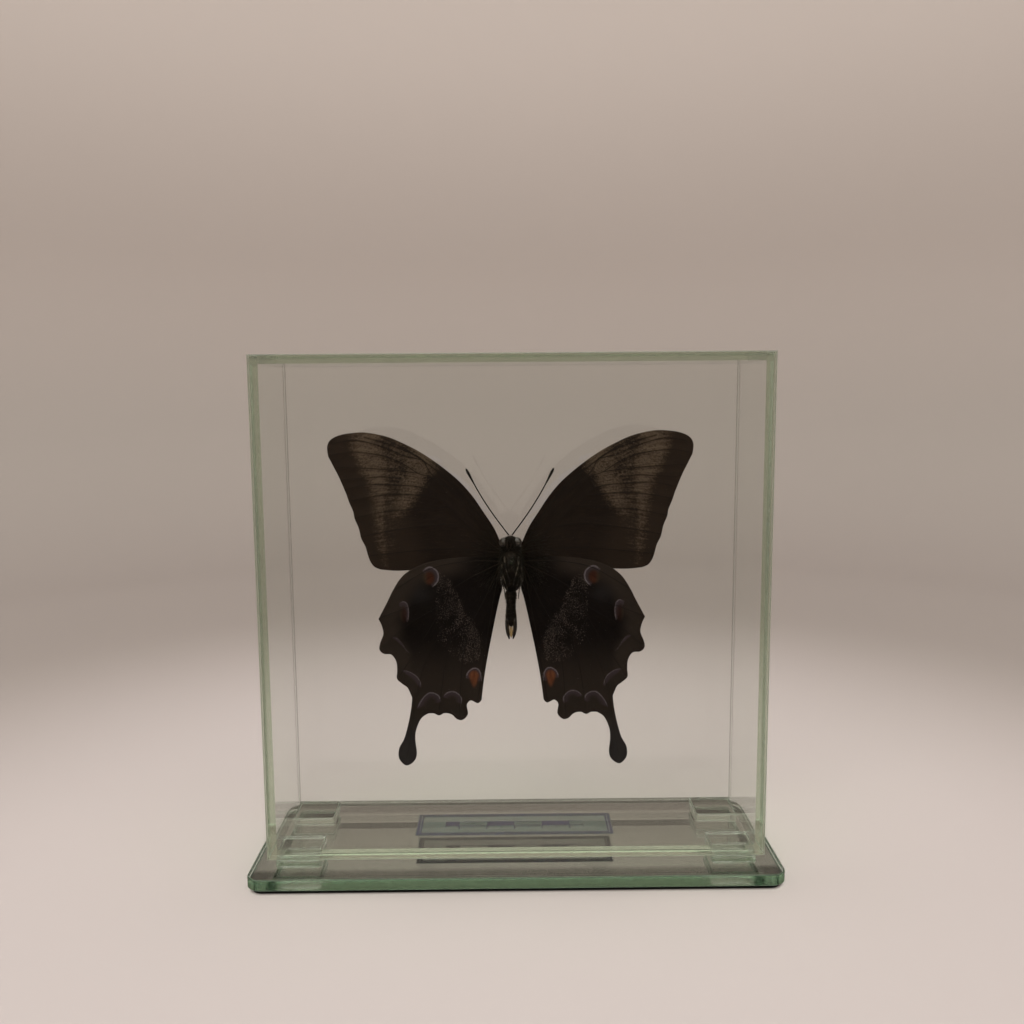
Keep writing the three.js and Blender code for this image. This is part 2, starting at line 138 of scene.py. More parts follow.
# Pale band under the forewing: its edge towards the root, and its edge towards the margin.
BAND_INNER = [(24.7, 28.6), (27.4, 26.1), (29.4, 22.2), (31.5, 18.8), (33.6, 15.5), (36.3, 12.2),
              (37.7, 8.1), (38.2, 2.8), (39.6, -1.3), (40.4, -4.0)]
BAND_OUTER = [(42.9, -4.0), (44.2, -1.3), (45.4, 2.8), (46.3, 8.2), (46.9, 13.5), (47.6, 18.9),
              (49.2, 24.2), (51.6, 29.6), (53.4, 34.2), (54.6, 40.4)]
BAND_CLOSING = [(40.0, 46.0), (24.0, 36.0)]     # beyond the wing's front edge

# Sprinkled band under the hindwing: its brightest edge, towards the body, and its other edge.
SPRINKLED_INNER = [(24.3, -6.6), (20.6, -9.8), (18.2, -15.3), (16.1, -20.0), (12.9, -23.6), (10.9, -27.9),
                   (10.6, -31.6), (11.6, -36.6)]
SPRINKLED_OUTER = [(16.1, -37.8), (20.0, -35.6), (22.9, -32.2), (25.6, -28.9), (26.0, -22.8), (26.2, -16.3),
                   (25.8, -9.7)]

# Eyespots under the hindwing: the course of the pale arc, how bright it is and, where there is one, the
# coloured centre with its half width and height, its strength, its warmth (0 rust, 1 orange) and how far it
# is drawn out downwards.
EYESPOTS = [
    {"arc": [(30.2, -5.6), (27.8, -4.4), (25.7, -5.5), (24.9, -7.3), (25.3, -9.4), (27.0, -11.4)],
     "bright": 1.0,
     "centre": (28.1, -8.2), "size": (2.5, 2.9), "strength": 1.0, "warmth": 0.2, "drop": 1.0},
    {"arc": [(38.6, -17.0), (36.8, -16.4), (35.6, -17.6), (35.3, -20.2), (35.7, -23.6)], "bright": 0.7,
     "centre": (37.0, -20.8), "size": (1.7, 3.7), "strength": 0.62, "warmth": 0.0, "drop": 1.0},
    {"arc": [(41.2, -28.6), (39.3, -29.3), (37.6, -31.4), (36.7, -33.1), (35.1, -34.6)], "bright": 0.5},
    {"arc": [(38.0, -40.5), (35.7, -41.0), (33.3, -42.4), (32.0, -44.2), (31.5, -46.7)], "bright": 0.66},
    {"arc": [(33.0, -53.9), (31.4, -51.0), (29.3, -48.8), (27.5, -48.5), (25.5, -49.5), (24.8, -51.7)],
     "bright": 0.82},
    {"arc": [(24.1, -49.9), (22.3, -48.3), (19.9, -48.1), (17.8, -49.9), (17.7, -52.4)], "bright": 0.82},
    {"arc": [(15.9, -43.2), (15.3, -41.2), (13.6, -39.8), (12.0, -39.9), (10.9, -41.6), (10.7, -44.4)],
     "bright": 0.9,
     "centre": (13.2, -42.4), "size": (2.3, 2.5), "strength": 1.0, "warmth": 1.0, "drop": 1.9},
]
ARC_WIDTH = 0.28
HAZE_DEPTH = 2.6            # of the haze that fades inwards from an arc
# A greyer patch in the middle of the hindwing's underside.
COOL_PATCH = {"centre": (31.0, -14.0), "size": (3.4, 3.2)}

# Blue fields on the upper side, as closed outlines.
FOREWING_BLUE = [(4.5, 0.5), (8.0, 7.0), (13.5, 15.5), (20.0, 22.5), (27.5, 28.6), (33.5, 30.6),
                 (38.5, 29.4), (42.5, 26.0), (43.5, 20.5), (42.6, 14.0), (41.4, 8.0), (40.6, 3.0),
                 (40.0, -2.6), (30.0, -4.6), (12.0, -3.2)]
HINDWING_BLUE = [(4.6, -3.6), (16.0, -3.0), (27.0, -4.6), (33.0, -8.4), (35.6, -15.0), (36.6, -22.0),
                 (34.6, -29.0), (31.4, -36.4), (26.4, -42.4), (20.4, -44.6), (15.6, -41.0), (12.0, -32.0),
                 (8.6, -20.0), (6.0, -11.0)]
MARGIN_SPOTS = [(41.6, -25.4), (41.6, -32.0), (36.9, -39.8), (33.8, -46.6), (27.4, -52.0), (20.6, -53.4)]
MARGIN_SPOT_SIZE = (2.2, 1.0)

# Body profiles: half width and height, from the front end down.
THORAX_PROFILE = [(1.9, 1.8), (3.0, 0.9), (3.6, -1.4), (3.7, -4.4), (3.5, -7.4), (2.8, -10.2), (1.9, -12.0)]
ABDOMEN_PROFILE = [(1.7, -12.3), (1.9, -13.4), (1.65, -15.4), (1.55, -17.4), (1.75, -20.0), (1.85, -22.0),
                   (1.5, -23.4), (0.9, -24.2)]
SEGMENT_LENGTH = 1.5
SEGMENT_RIDGE = 0.09
CLASPER_PATH = [(0.85, -20.8), (1.15, -22.2), (1.28, -24.2), (1.24, -25.8), (1.02, -27.3), (0.62, -28.9)]
CLASPER_RADII = [0.5, 0.84, 0.76, 0.66, 0.54, 0.16]
LINING_PROFILE = [(0.1, -23.2), (0.26, -24.4), (0.5, -25.6), (0.58, -26.6), (0.44, -27.6), (0.12, -28.4)]
HEAD = {"h": 4.3, "half_width": 2.6, "half_height": 2.2, "half_depth": 2.2}
COLLAR = {"h": 2.0, "radii": (3.4, 2.4, 1.9)}
EYE = {"out": 2.15, "radius": 1.68}
PALP = {
    "out": 0.75,
    "path": [(0.0, -0.9, -2.1), (0.1, -1.9, -1.2), (0.05, -2.2, 0.2), (0.0, -2.15, 1.1)],
    "radii": ((0, 0.35, 0.8, 1.0), (0.4, 0.62, 0.42, 0.12)),
}
TONGUE = {"turns": 2.6, "reach": (1.05, 0.28), "radii": (0.15, 0.09), "y": -1.55, "h": -1.15}

LEG_RADIUS = 0.24
LEG_THINNING = ((0, 0.08, 0.3, 0.36, 0.42, 0.62, 0.7, 1.0), (0.2, 0.3, 0.24, 0.15, 0.19, 0.15, 0.13, 0.08))
LEG_SPINE = [(0.15, -0.05, -0.14), (0.26, -0.1, -0.34)]
LEG_CLAW = [(0.16, -0.02, -0.14), (0.22, 0.02, -0.36)]
SHIN_START = 0.42           # shares of a leg's length
FOOT_START = 0.66
LEGS = {
    "front": [(2.3, 0.0), (2.2, -3.0), (1.2, -6.5), (0.6, -9.4)],
    "middle": [(3.0, -2.2), (3.3, -5.0), (2.3, -8.2), (1.4, -11.2)],
    "hind": [(3.1, -6.9), (3.2, -9.2), (2.6, -11.2), (2.2, -14.6)],
}
ANTENNA = {"out": 0.6, "h": 6.82, "length": 26.4, "lean": 0.56, "bow": 0.75, "radius": 0.21}
ANTENNA_CLUB = {"length": 4.2, "radius": 0.5}
ANTENNA_RINGS = 62

# The hairs of each part. Lean is the share by which they lie along it.
DENSITY = "Hairs per square millimetre"
HAIRS = {
    "chest": {DENSITY: 15.0, "Length": 1.5, "Thickness": 0.035, "Lean": 0.76},
    "collar": {DENSITY: 15.0, "Length": 1.5, "Thickness": 0.035, "Lean": 0.3, "Seed": 31},
    "abdomen": {DENSITY: 13.0, "Length": 0.9, "Thickness": 0.03, "Lean": 0.86, "Seed": 11},
    "head": {DENSITY: 9.0, "Length": 0.8, "Thickness": 0.025, "Lean": 0.35, "Seed": 23},
    "root": {DENSITY: 9.0, "Length": 2.0, "Thickness": 0.03, "Lean": 0.84, "Seed": 41},
}


# ---- Places taken from the frame ------------------------------------------------------------------

def box_mm(node):
    low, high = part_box(node)
    return Vector(low) / MM, Vector(high) / MM


def middle(node):
    low, high = box_mm(node)
    return (low + high) / 2


SPECIMEN_X = middle("thorax").x
SPECIMEN_H = box_mm("thorax")[1].z - THORAX_TOP
BODY_Y = middle("thorax").y


def near_root_y(node):
    """Depth of a wing's middle plane at the body's axis."""
    low, high = box_mm(node)
    reach = abs(low.x - SPECIMEN_X) if abs(low.x) > abs(high.x) else abs(high.x - SPECIMEN_X)
    return (low.y + high.y) / 2 - (reach + WING_ROOT) / 2 * math.sin(WING_SWEEP)


# ---- Curves and distances in a plane --------------------------------------------------------------

def smooth(points, spacing):
    """Points along a Catmull-Rom curve through the given ones, no further apart than spacing."""
    given = np.array(points, float)
    padded = np.vstack([given[:1], given, given[-1:]])
    found = []
    for before, start, end, after in zip(padded[:-3], padded[1:-2], padded[2:-1], padded[3:]):
        count = max(1, math.ceil(np.linalg.norm(end - start) / spacing))
        t = (np.arange(count) / count)[:, None]
        linear = (end - before) * t
        square = (2 * before - 5 * start + 4 * end - after) * t**2
        cube = (3 * start - before - 3 * end + after) * t**3
        found.append((2 * start + linear + square + cube) / 2)
    return np.vstack([*found, given[-1:]])


def distance_to(points, line):
    """Distance of each point to a polyline."""
    nearest = np.full(len(points), np.inf)
    for start, end in zip(line[:-1], line[1:]):
        along = end - start
        t = np.clip((points - start) @ along / max(along @ along, 1e-9), 0, 1)
        nearest = np.minimum(nearest, np.linalg.norm(points - start - t[:, None] * along, axis=1))
    return nearest


def closed(line):
    """The line with its first point again at its end."""
    return np.vstack([line, line[:1]])


def width_at(course, heights):
    """How far from the axis a course is at each height. The course runs downwards."""
    return np.interp(-heights, -course[:, 1], course[:, 0])


def inside(points, outline):
    """True for the points inside a closed outline."""
    crossings = np.zeros(len(points), int)
    x, y = points[:, 0], points[:, 1]
    for (x0, y0), (x1, y1) in zip(outline, np.roll(outline, -1, axis=0)):
        straddles = (y0 > y) != (y1 > y)
        with np.errstate(divide="ignore", invalid="ignore"):
            crossings += straddles & (x < (x1 - x0) * (y - y0) / (y1 - y0) + x0)
    return crossings % 2 == 1


def depth_inside(points, outline):
    """Distance to a closed outline, positive inside it."""
    distance = distance_to(points, closed(outline))
    return np.where(inside(points, outline), distance, -distance)


def ease(values, low, high):
    """0 below low, 1 above high, smooth between them."""
    t = np.clip((values - low) / (high - low), 0, 1)
    return t * t * (3 - 2 * t)


# ---- Node trees -----------------------------------------------------------------------------------

def tone(red, green, blue):
    """Linear colour of one given in steps of 0 to 255."""
    return (*((channel / 255) ** 2.2 for channel in (red, green, blue)), 1.0)


class Graph:
    """Adds and links the nodes of a tree."""

    def __init__(self, tree):
        self.tree = tree

    def feed(self, socket, value):
        if isinstance(value, bpy.types.NodeSocket):
            self.tree.links.new(value, socket)
        else:
            socket.default_value = value

    def feed_all(self, node, inputs):
        """Feeds a node's inputs, each with a number, a colour or another node's output."""
        for name, value in inputs.items():
            self.feed(node.inputs[name], value)

    def node(self, kind, inputs=None, **settings):
        made = self.tree.nodes.new(kind)
        for name, value in settings.items():
            setattr(made, name, value)
        self.feed_all(made, inputs or {})
        return made

    def math(self, operation, *values):
        return self.node("ShaderNodeMath", dict(enumerate(values)), operation=operation).outputs[0]

    def add(self, a, b):
        return self.math("ADD", a, b)

    def minus(self, a, b):
        return self.math("SUBTRACT", a, b)

    def times(self, a, b):
        return self.math("MULTIPLY", a, b)

    def size_of(self, a):
        return self.math("ABSOLUTE", a)

    def vector_total(self, a, b):
        return self.node("ShaderNodeVectorMath", {0: a, 1: b}, operation="ADD").outputs[0]

    def vector_times(self, a, factor):
        return self.node("ShaderNodeVectorMath", {0: a, "Scale": factor}, operation="SCALE").outputs[0]

    def blend(self, factor, a, b):
        return self.node("ShaderNodeMix", {0: factor, 6: a, 7: b}, data_type="RGBA").outputs[2]

    def step(self, value, low, high, bottom=0.0, top=1.0):
        """bottom where the value is below low, top above high, smooth between them."""
        levels = {"Value": value, "From Min": low, "From Max": high, "To Min": bottom, "To Max": top}
        return self.node("ShaderNodeMapRange", levels, interpolation_type="SMOOTHSTEP").outputs[0]

    def line(self, value, centre, half_width, softness):
        """1 where the value is within half_width of centre, and 0 beyond the softness."""
        offset = self.size_of(self.minus(value, centre))
        return self.step(offset, half_width, half_width + softness, 1.0, 0.0)

    def mark(self, name):
        return self.node("ShaderNodeAttribute", attribute_name=name).outputs["Fac"]

    def place(self):
        return self.node("ShaderNodeTexCoord").outputs["Object"]

    def stretched(self, vector, scale):
        return self.node("ShaderNodeMapping", {"Vector": vector, "Scale": scale}).outputs[0]

    def noise(self, vector, scale, detail=2.0, roughness=0.5):
        levels = {"Vector": vector, "Scale": scale, "Detail": detail, "Roughness": roughness}
        return self.node("ShaderNodeTexNoise", levels).outputs["Fac"]

    def bump(self, height, strength, distance):
        levels = {"Height": height, "Strength": strength, "Distance": distance}
        return self.node("ShaderNodeBump", levels).outputs[0]

    def place_effect(self, group, inputs):
        return self.node("ShaderNodeGroup", inputs, node_tree=group).outputs


def new_material(name):
    """A material with an empty Principled shader on its output."""
    material = bpy.data.materials.new(name)
    material.use_nodes = True
    graph = Graph(material.node_tree)
    shader = material.node_tree.nodes["Principled BSDF"]
    return material, graph, shader


SOCKETS = {"vector": "NodeSocketVector", "value": "NodeSocketFloat", "count": "NodeSocketInt",
           "mesh": "NodeSocketGeometry"}


def new_group(name, tree_kind, inputs, outputs):
    """A node group with named inputs and outputs, and the graph to fill it."""
    tree = bpy.data.node_groups.new(name, tree_kind)
    for socket, (kind, default) in inputs.items():
        made = tree.interface.new_socket(socket, in_out="INPUT", socket_type=SOCKETS[kind])
        if default is not None:
            made.default_value = default
    for socket, kind in outputs.items():
        tree.interface.new_socket(socket, in_out="OUTPUT", socket_type=SOCKETS[kind])
    graph = Graph(tree)
    return tree, graph, graph.node("NodeGroupInput").outputs, graph.node("NodeGroupOutput").inputs


def wing_scales_effect():
    """Tiny scales of uneven tone, some of them worn off or turned to the light."""
    inputs = {"Place": ("vector", None), "Size": ("value", 0.00016), "Wear": ("value", 0.3)}
    outputs = {"Grain": "value", "Worn": "value", "Height": "value"}
    tree, g, given, out = new_group("wing scales", "ShaderNodeTree", inputs, outputs)
    per_metre = g.math("DIVIDE", 1.0, given["Size"])
    cells = g.node("ShaderNodeTexVoronoi", {"Vector": given["Place"], "Scale": per_metre})
    tint = g.node("ShaderNodeSeparateColor", {"Color": cells.outputs["Color"]}).outputs["Red"]
    patches = g.noise(given["Place"], g.times(per_metre, 0.06), 4.0, 0.65)
    g.feed(out["Grain"], tint)
    wear = g.add(g.times(tint, 0.6), g.times(patches, 0.55))
    worn_through = g.minus(1.0, given["Wear"])
    g.feed(out["Worn"], g.step(wear, g.minus(worn_through, 0.06), worn_through))
    g.feed(out["Height"], g.add(g.times(cells.outputs["Distance"], 0.6), g.times(tint, 0.4)))
    return tree


def smudge_effect():
    """Faint wiping marks and dust on polished glass and silvering."""
    inputs = {"Place": ("vector", None), "Base": ("value", 0.0), "Amount": ("value", 0.02)}
    tree, g, given, out = new_group("smudges", "ShaderNodeTree", inputs, {"Roughness": "value"})
    wiped = g.noise(g.stretched(given["Place"], (14.0, 14.0, 60.0)), 1.0, 3.0, 0.6)
    marks = g.step(wiped, 0.52, 0.78)
    g.feed(out["Roughness"], g.add(given["Base"], g.times(marks, given["Amount"])))
    return tree


WING_SCALES = wing_scales_effect()
SMUDGES = smudge_effect()


# ---- Glass, mirror and label ----------------------------------------------------------------------

CASE_TINT = (0.35, 0.56, 0.21, 1.0)            # share of each colour that the glass lets by
PLATE_TINT = (0.07, 0.37, 0.12, 1.0)
CASE_ABSORPTION = 13.5
PLATE_ABSORPTION = 25.5
LAMP_LIGHT_THROUGH = (0.94, 0.96, 0.94, 1.0)


def glass(name, tint=CASE_TINT, absorption=0.0, smudge=0.012, ior=1.5):
    """Clear glass that takes light by its depth, frosted on ground faces.

    The light of lamps goes straight through it, and absorption is its density in each metre.
    """
    material, g, shader = new_material(name)
    place, ground = g.place(), g.mark("ground")
    grit = g.noise(place, 5200.0, 3.0)
    marks = g.place_effect(SMUDGES, {"Place": place, "Amount": smudge})
    frosted = g.times(ground, g.step(grit, 0.3, 0.7, 0.4, 0.55))
    dulled = g.blend(grit, (0.86, 0.87, 0.82, 1.0), (0.94, 0.95, 0.9, 1.0))
    g.feed_all(shader, {
        "IOR": ior,
        "Transmission Weight": 1.0,
        "Base Color": g.blend(ground, (0.975, 0.975, 0.975, 1.0), dulled),
        "Roughness": g.math("MAXIMUM", marks["Roughness"], frosted),
    })
    through = g.node("ShaderNodeBsdfTransparent", {"Color": LAMP_LIGHT_THROUGH})
    shadow = g.node("ShaderNodeLightPath").outputs["Is Shadow Ray"]
    both = g.node("ShaderNodeMixShader", {0: shadow, 1: shader.outputs[0], 2: through.outputs[0]})
    output = material.node_tree.nodes["Material Output"]
    g.feed(output.inputs["Surface"], both.outputs[0])
    if absorption:
        depth = g.node("ShaderNodeVolumeAbsorption", {"Color": tint, "Density": absorption})
        g.feed(output.inputs["Volume"], depth.outputs[0])
    return material


def silvering(low, high):
    """Mirror coating, duller near its long edges."""
    material, g, shader = new_material("silvering")
    place = g.place()
    haze = g.noise(place, 22.0, 3.0)
    bright = g.blend(haze, tone(219, 221, 219), tone(229, 231, 228))
    dull = g.blend(haze, tone(140, 140, 137), tone(150, 150, 147))
    axes = g.node("ShaderNodeSeparateXYZ", {0: place}).outputs
    from_middle = g.size_of(g.minus(axes["Y"], (low.y + high.y) / 2 * MM))
    to_edge = g.minus(high.y * MM, from_middle)
    marks = g.place_effect(SMUDGES, {"Place": place, "Base": 0.01, "Amount": 0.03})
    g.feed_all(shader, {
        "Metallic": 1.0,
        "Base Color": g.blend(g.step(to_edge, 0.0065, 0.0105), dull, bright),
        "Roughness": marks["Roughness"],
    })
    return material


def backing_paint():
    """Matt black paint with a fine speckle."""
    material, g, shader = new_material("backing_paint")
    place = g.place()
    speckle = g.noise(place, 2600.0, 2.0)
    g.feed_all(shader, {
        "Base Color": g.blend(speckle, tone(17, 17, 16), tone(34, 33, 31)),
        "Roughness": g.step(speckle, 0.3, 0.7, 0.62, 0.85),
        "Normal": g.bump(speckle, 0.3, 0.0002),
    })
    return material


def printed_scale(g, x, y):
    """A bar of alternate centimetres between two rails, with ticks under it for millimetres and more."""
    half_length = 25.0
    bar_half_height = 1.5
    bar_y, tick_y = 0.6, -1.2
    within = g.step(g.size_of(x), half_length, half_length + 0.08, 1.0, 0.0)
    centimetre = g.math("FLOOR", g.times(g.add(x, 100.0), 0.1))
    filled = g.step(g.math("MODULO", centimetre, 2.0), 0.45, 0.55)
    bar = g.times(g.line(y, bar_y, bar_half_height, 0.06), filled)
    rails = g.line(g.size_of(g.minus(y, bar_y)), bar_half_height, 0.1, 0.06)
    scale = g.math("MAXIMUM", bar, rails)
    for pitch, half_width, reach in ((1.0, 0.07, 1.0), (5.0, 0.1, 1.7), (10.0, 0.13, 2.4)):
        share = g.math("FRACT", g.add(g.times(x, 1 / pitch), 0.5))
        from_tick = g.size_of(g.minus(share, 0.5))
        narrow = g.step(from_tick, half_width / pitch, half_width / pitch + 0.02, 1.0, 0.0)
        ticks = g.times(narrow, g.line(y, tick_y - reach / 2, reach / 2, 0.06))
        scale = g.math("MAXIMUM", scale, ticks)
    return g.times(within, scale)


def label_film(low, high):
    """Pale film printed with a double border and a plain scale of centimetres and millimetres."""
    material, g, shader = new_material("label_film")
    centre = (low + high) / 2 * MM
    offset = g.node("ShaderNodeVectorMath", {0: g.place(), 1: centre}, operation="SUBTRACT").outputs[0]
    axes = g.node("ShaderNodeSeparateXYZ", {0: offset})
    x, y = (g.times(axes.outputs[axis], 1 / MM) for axis in ("X", "Y"))
    half = (high - low) / 2
    to_edge = g.math("MINIMUM", g.minus(half.x, g.size_of(x)), g.minus(half.y, g.size_of(y)))
    thick_line, thin_line = g.line(to_edge, 0.82, 0.42, 0.08), g.line(to_edge, 1.9, 0.22, 0.08)
    border = g.math("MAXIMUM", thick_line, thin_line)
    ink = g.math("MAXIMUM", border, printed_scale(g, x, y))
    fibre = g.noise(g.place(), 900.0, 4.0)
    film = g.blend(fibre, tone(72, 98, 98), tone(86, 110, 108))
    colour = g.blend(ink, film, g.blend(fibre, tone(5, 11, 56), tone(10, 19, 70)))
    g.feed_all(shader, {
        "Base Color": colour,
        "Alpha": g.step(ink, 0.0, 1.0, 0.3, 0.95),
        "Roughness": g.step(fibre, 0.35, 0.65, 0.3, 0.42),
        "Normal": g.bump(fibre, 0.12, 0.0001),
    })
    return material


# ---- Wings, body and limbs ------------------------------------------------------------------------

def from_root(g):
    """Distance to the nearest vein, distance to the wing's root, and the way round the root."""
    return g.node("ShaderNodeAttribute", attribute_name="from_root").outputs["Vector"]


def streaks(g):
    """Fine streaks along the veins."""
    return g.noise(g.stretched(from_root(g), (1.0, 0.09, 0.16)), 2.0, 6.0, 0.66)


def mottles(g):
    """Small clumps of scales, a little longer across the wing than along it."""
    return g.noise(g.stretched(from_root(g), (0.8, 1.0, 0.6)), 1.7, 4.0, 0.7)


def velvet(g, shader, sheen=0.015):
    """Dull surface with a little light on its nap."""
    g.feed_all(shader, {
        "Specular IOR Level": 0.05,
        "Sheen Weight": sheen,
        "Sheen Roughness": 0.45,
        "Sheen Tint": tone(150, 126, 104),
    })


def wing_surface(name, scale_size, wear, sheen=0.015):
    """A wing's material so far: velvet, its place, its scales and its streaks."""
    material, g, shader = new_material(name)
    velvet(g, shader, sheen)
    place = g.place()
    scales = g.place_effect(WING_SCALES, {"Place": place, "Size": scale_size, "Wear": wear})
    return material, g, shader, place, scales, streaks(g)


def forewing_underside():
    """Dark brown, with the pale band dusted over its outer half."""
    material, g, shader, _, scales, fan = wing_surface("forewing_underside", 0.00017, 0.36)
    ground = g.blend(g.mark("outer"), tone(32, 26, 23), tone(43, 35, 30))
    ground = g.blend(g.times(g.step(fan, 0.42, 0.7), 0.4), ground, tone(46, 37, 30))
    dusted = g.add(g.add(g.times(fan, 2.3), g.times(mottles(g), 2.4)), g.times(scales["Grain"], 0.5))
    dusted = g.add(g.mark("pale"), g.minus(dusted, 2.6))
    pale = g.times(g.step(dusted, 0.1, 1.5), g.step(g.mark("pale"), 0.0, 0.2))
    pale = g.times(pale, g.step(g.mark("vein"), 0.1, 0.8, 0.65, 1.0))
    colour = g.blend(pale, ground, tone(91, 77, 65))
    colour = g.blend(g.times(scales["Worn"], 0.12), colour, tone(62, 50, 41))
    vein = g.times(g.step(g.mark("vein"), 0.08, 0.3, 1.0, 0.0), g.mark("pale"))
    colour = g.blend(g.times(vein, 0.45), colour, tone(24, 18, 14))
    g.feed_all(shader, {
        "Base Color": colour,
        "Roughness": g.step(scales["Grain"], 0.0, 1.0, 0.62, 0.86),
        "Normal": g.bump(scales["Height"], 0.35, 0.00006),
    })
    return material


def hindwing_underside():
    """Near black, with a sprinkled band, a row of eyespots along the margin, and a painted reflection that
    lightens its lower half.
    """
    material, g, shader, place, scales, fan = wing_surface("hindwing_underside", 0.00017, 0.36)
    # The paler tone stands both for the real margin and for the painted reflection over the lower half.
    colour = g.blend(g.mark("outer"), tone(19, 15, 14), tone(47, 40, 36))
    colour = g.blend(g.times(g.step(fan, 0.45, 0.72), 0.3), colour, tone(36, 29, 24))
    dots = g.node("ShaderNodeTexVoronoi", {"Vector": place, "Scale": 3500.0})
    chance = g.node("ShaderNodeSeparateColor", {"Color": dots.outputs["Color"]}).outputs["Green"]
    likely = g.add(g.times(g.mark("pale"), 0.8), g.times(g.minus(mottles(g), 0.5), 0.5))
    chosen = g.times(g.step(g.add(chance, likely), 0.96, 1.04), g.step(g.mark("pale"), 0.0, 0.1))
    dot = g.times(chosen, g.step(dots.outputs["Distance"], 0.25, 0.5, 1.0, 0.0))
    colour = g.blend(dot, colour, g.blend(chance, tone(60, 52, 48), tone(90, 79, 75)))
    colour = g.blend(g.times(g.mark("cool"), 0.75), colour, tone(50, 47, 48))
    colour = g.blend(g.times(g.mark("haze"), 0.85), colour, tone(60, 51, 55))
    rust = g.blend(g.mark("warmth"), tone(47, 26, 18), tone(104, 63, 43))
    streaked = g.blend(g.mark("warmth"), tone(34, 21, 16), tone(66, 37, 25))
    rust = g.blend(g.times(g.step(fan, 0.42, 0.62), 0.7), rust, streaked)
    rust = g.blend(g.mark("beige"), rust, tone(56, 47, 38))
    colour = g.blend(g.mark("core"), colour, rust)
    gaps = g.times(g.minus(1.0, scales["Grain"]), 0.3)
    ragged = g.minus(g.mark("arc"), gaps)
    lilac = g.blend(chance, tone(84, 76, 82), tone(108, 99, 100))
    colour = g.blend(g.step(ragged, 0.12, 0.6), colour, lilac)
    colour = g.blend(g.times(scales["Worn"], 0.1), colour, tone(58, 48, 41))
    g.feed_all(shader, {
        "Base Color": colour,
        "Roughness": g.step(scales["Grain"], 0.0, 1.0, 0.62, 0.86),
        "Normal": g.bump(scales["Height"], 0.35, 0.00006),
    })
    return material


def upper_side():
    """Blue fields that shine like metal, inside borders as dull as velvet."""
    material, g, shader, _, scales, fan = wing_surface("wing_upper_side", 0.00015, 0.3, 0.03)
    edge = g.add(g.mark("blue"), g.times(g.minus(fan, 0.5), 3.4))
    blue = g.step(g.add(edge, g.times(scales["Grain"], 0.7)), 0.2, 1.5)
    veins = g.step(g.mark("vein"), 0.3, 0.75)
    blue = g.math("MAXIMUM", g.times(blue, veins), g.times(g.mark("spots"), g.step(fan, 0.35, 0.6)))
    deep = g.blend(g.step(edge, 1.0, 5.6), tone(26, 74, 204), tone(24, 140, 236))
    shining = g.blend(g.times(scales["Grain"], 0.5), deep, tone(74, 176, 240))
    border = g.blend(g.step(fan, 0.35, 0.7), tone(13, 12, 14), tone(27, 25, 28))
    g.feed_all(shader, {
        "Base Color": g.blend(blue, border, shining),
        "Metallic": g.times(blue, 0.4),
        "Roughness": g.step(blue, 0.0, 1.0, 0.8, 0.36),
        "Normal": g.bump(scales["Height"], 0.3, 0.00005),
    })
    return material


def vein_chitin():
    """Dark tubes, paler and barer near the root."""
    material, g, shader = new_material("vein_chitin")
    fibre = g.noise(g.place(), 1900.0, 3.0)
    dark = g.blend(fibre, tone(17, 13, 10), tone(29, 23, 18))
    bare = g.blend(fibre, tone(36, 29, 23), tone(56, 46, 38))
    g.feed_all(shader, {
        "Specular IOR Level": 0.1,
        "Base Color": g.blend(g.step(g.mark("reach"), 0.00015, 0.0002), dark, bare),
        "Roughness": g.step(fibre, 0.3, 0.7, 0.5, 0.72),
        "Normal": g.bump(fibre, 0.3, 0.00005),
    })
    return material


def body_skin():
    """Dark chitin under short scales, with a paler line along each side and at the segments' edges."""
    material, g, shader = new_material("body_skin")
    velvet(g, shader)
    place = g.place()
    scales = g.place_effect(WING_SCALES, {"Place": place, "Size": 0.0002, "Wear": 0.42})
    mottle = g.noise(place, 700.0, 4.0)
    colour = g.blend(mottle, tone(14, 11, 9), tone(27, 22, 18))
    colour = g.blend(g.times(g.mark("pale"), g.step(scales["Grain"], 0.2, 0.9)), colour, tone(64, 56, 47))
    colour = g.blend(g.times(scales["Worn"], 0.3), colour, tone(44, 37, 31))
    g.feed_all(shader, {
        "Base Color": colour,
        "Roughness": g.step(mottle, 0.3, 0.7, 0.55, 0.8),
        "Normal": g.bump(scales["Height"], 0.5, 0.00012),
    })
    return material


def clasper_skin():
    """Dark outside, cream to ochre inside."""
    material, g, shader = new_material("clasper_skin")
    mottle = g.noise(g.place(), 1500.0, 4.0)
    inner = g.blend(mottle, tone(206, 182, 138), tone(150, 108, 62))
    outer = g.blend(mottle, tone(20, 15, 11), tone(40, 30, 22))
    g.feed_all(shader, {
        "Specular IOR Level": 0.3,
        "Base Color": g.blend(g.mark("pale"), outer, inner),
        "Roughness": g.step(mottle, 0.3, 0.7, 0.4, 0.65),
        "Normal": g.bump(mottle, 0.3, 0.0001),
    })
    return material


def compound_eye():
    """Dark facets, with a dusting of pale scales along the lower rim."""
    material, g, shader = new_material("compound_eye")
    place = g.place()
    facets = g.node("ShaderNodeTexVoronoi", {"Vector": place, "Scale": 9000.0})
    brown = g.blend(g.noise(place, 900.0), tone(24, 17, 12), tone(50, 37, 25))
    dust = g.times(g.mark("pale"), g.step(g.noise(place, 4200.0), 0.42, 0.6))
    g.feed_all(shader, {
        "Coat Weight": 0.35,
        "Coat Roughness": 0.12,
        "Base Color": g.blend(dust, brown, tone(76, 70, 64)),
        "Roughness": g.step(facets.outputs["Distance"], 0.0, 0.7, 0.22, 0.45),
        "Normal": g.bump(facets.outputs["Distance"], 0.4, 0.00004),
    })
    return material


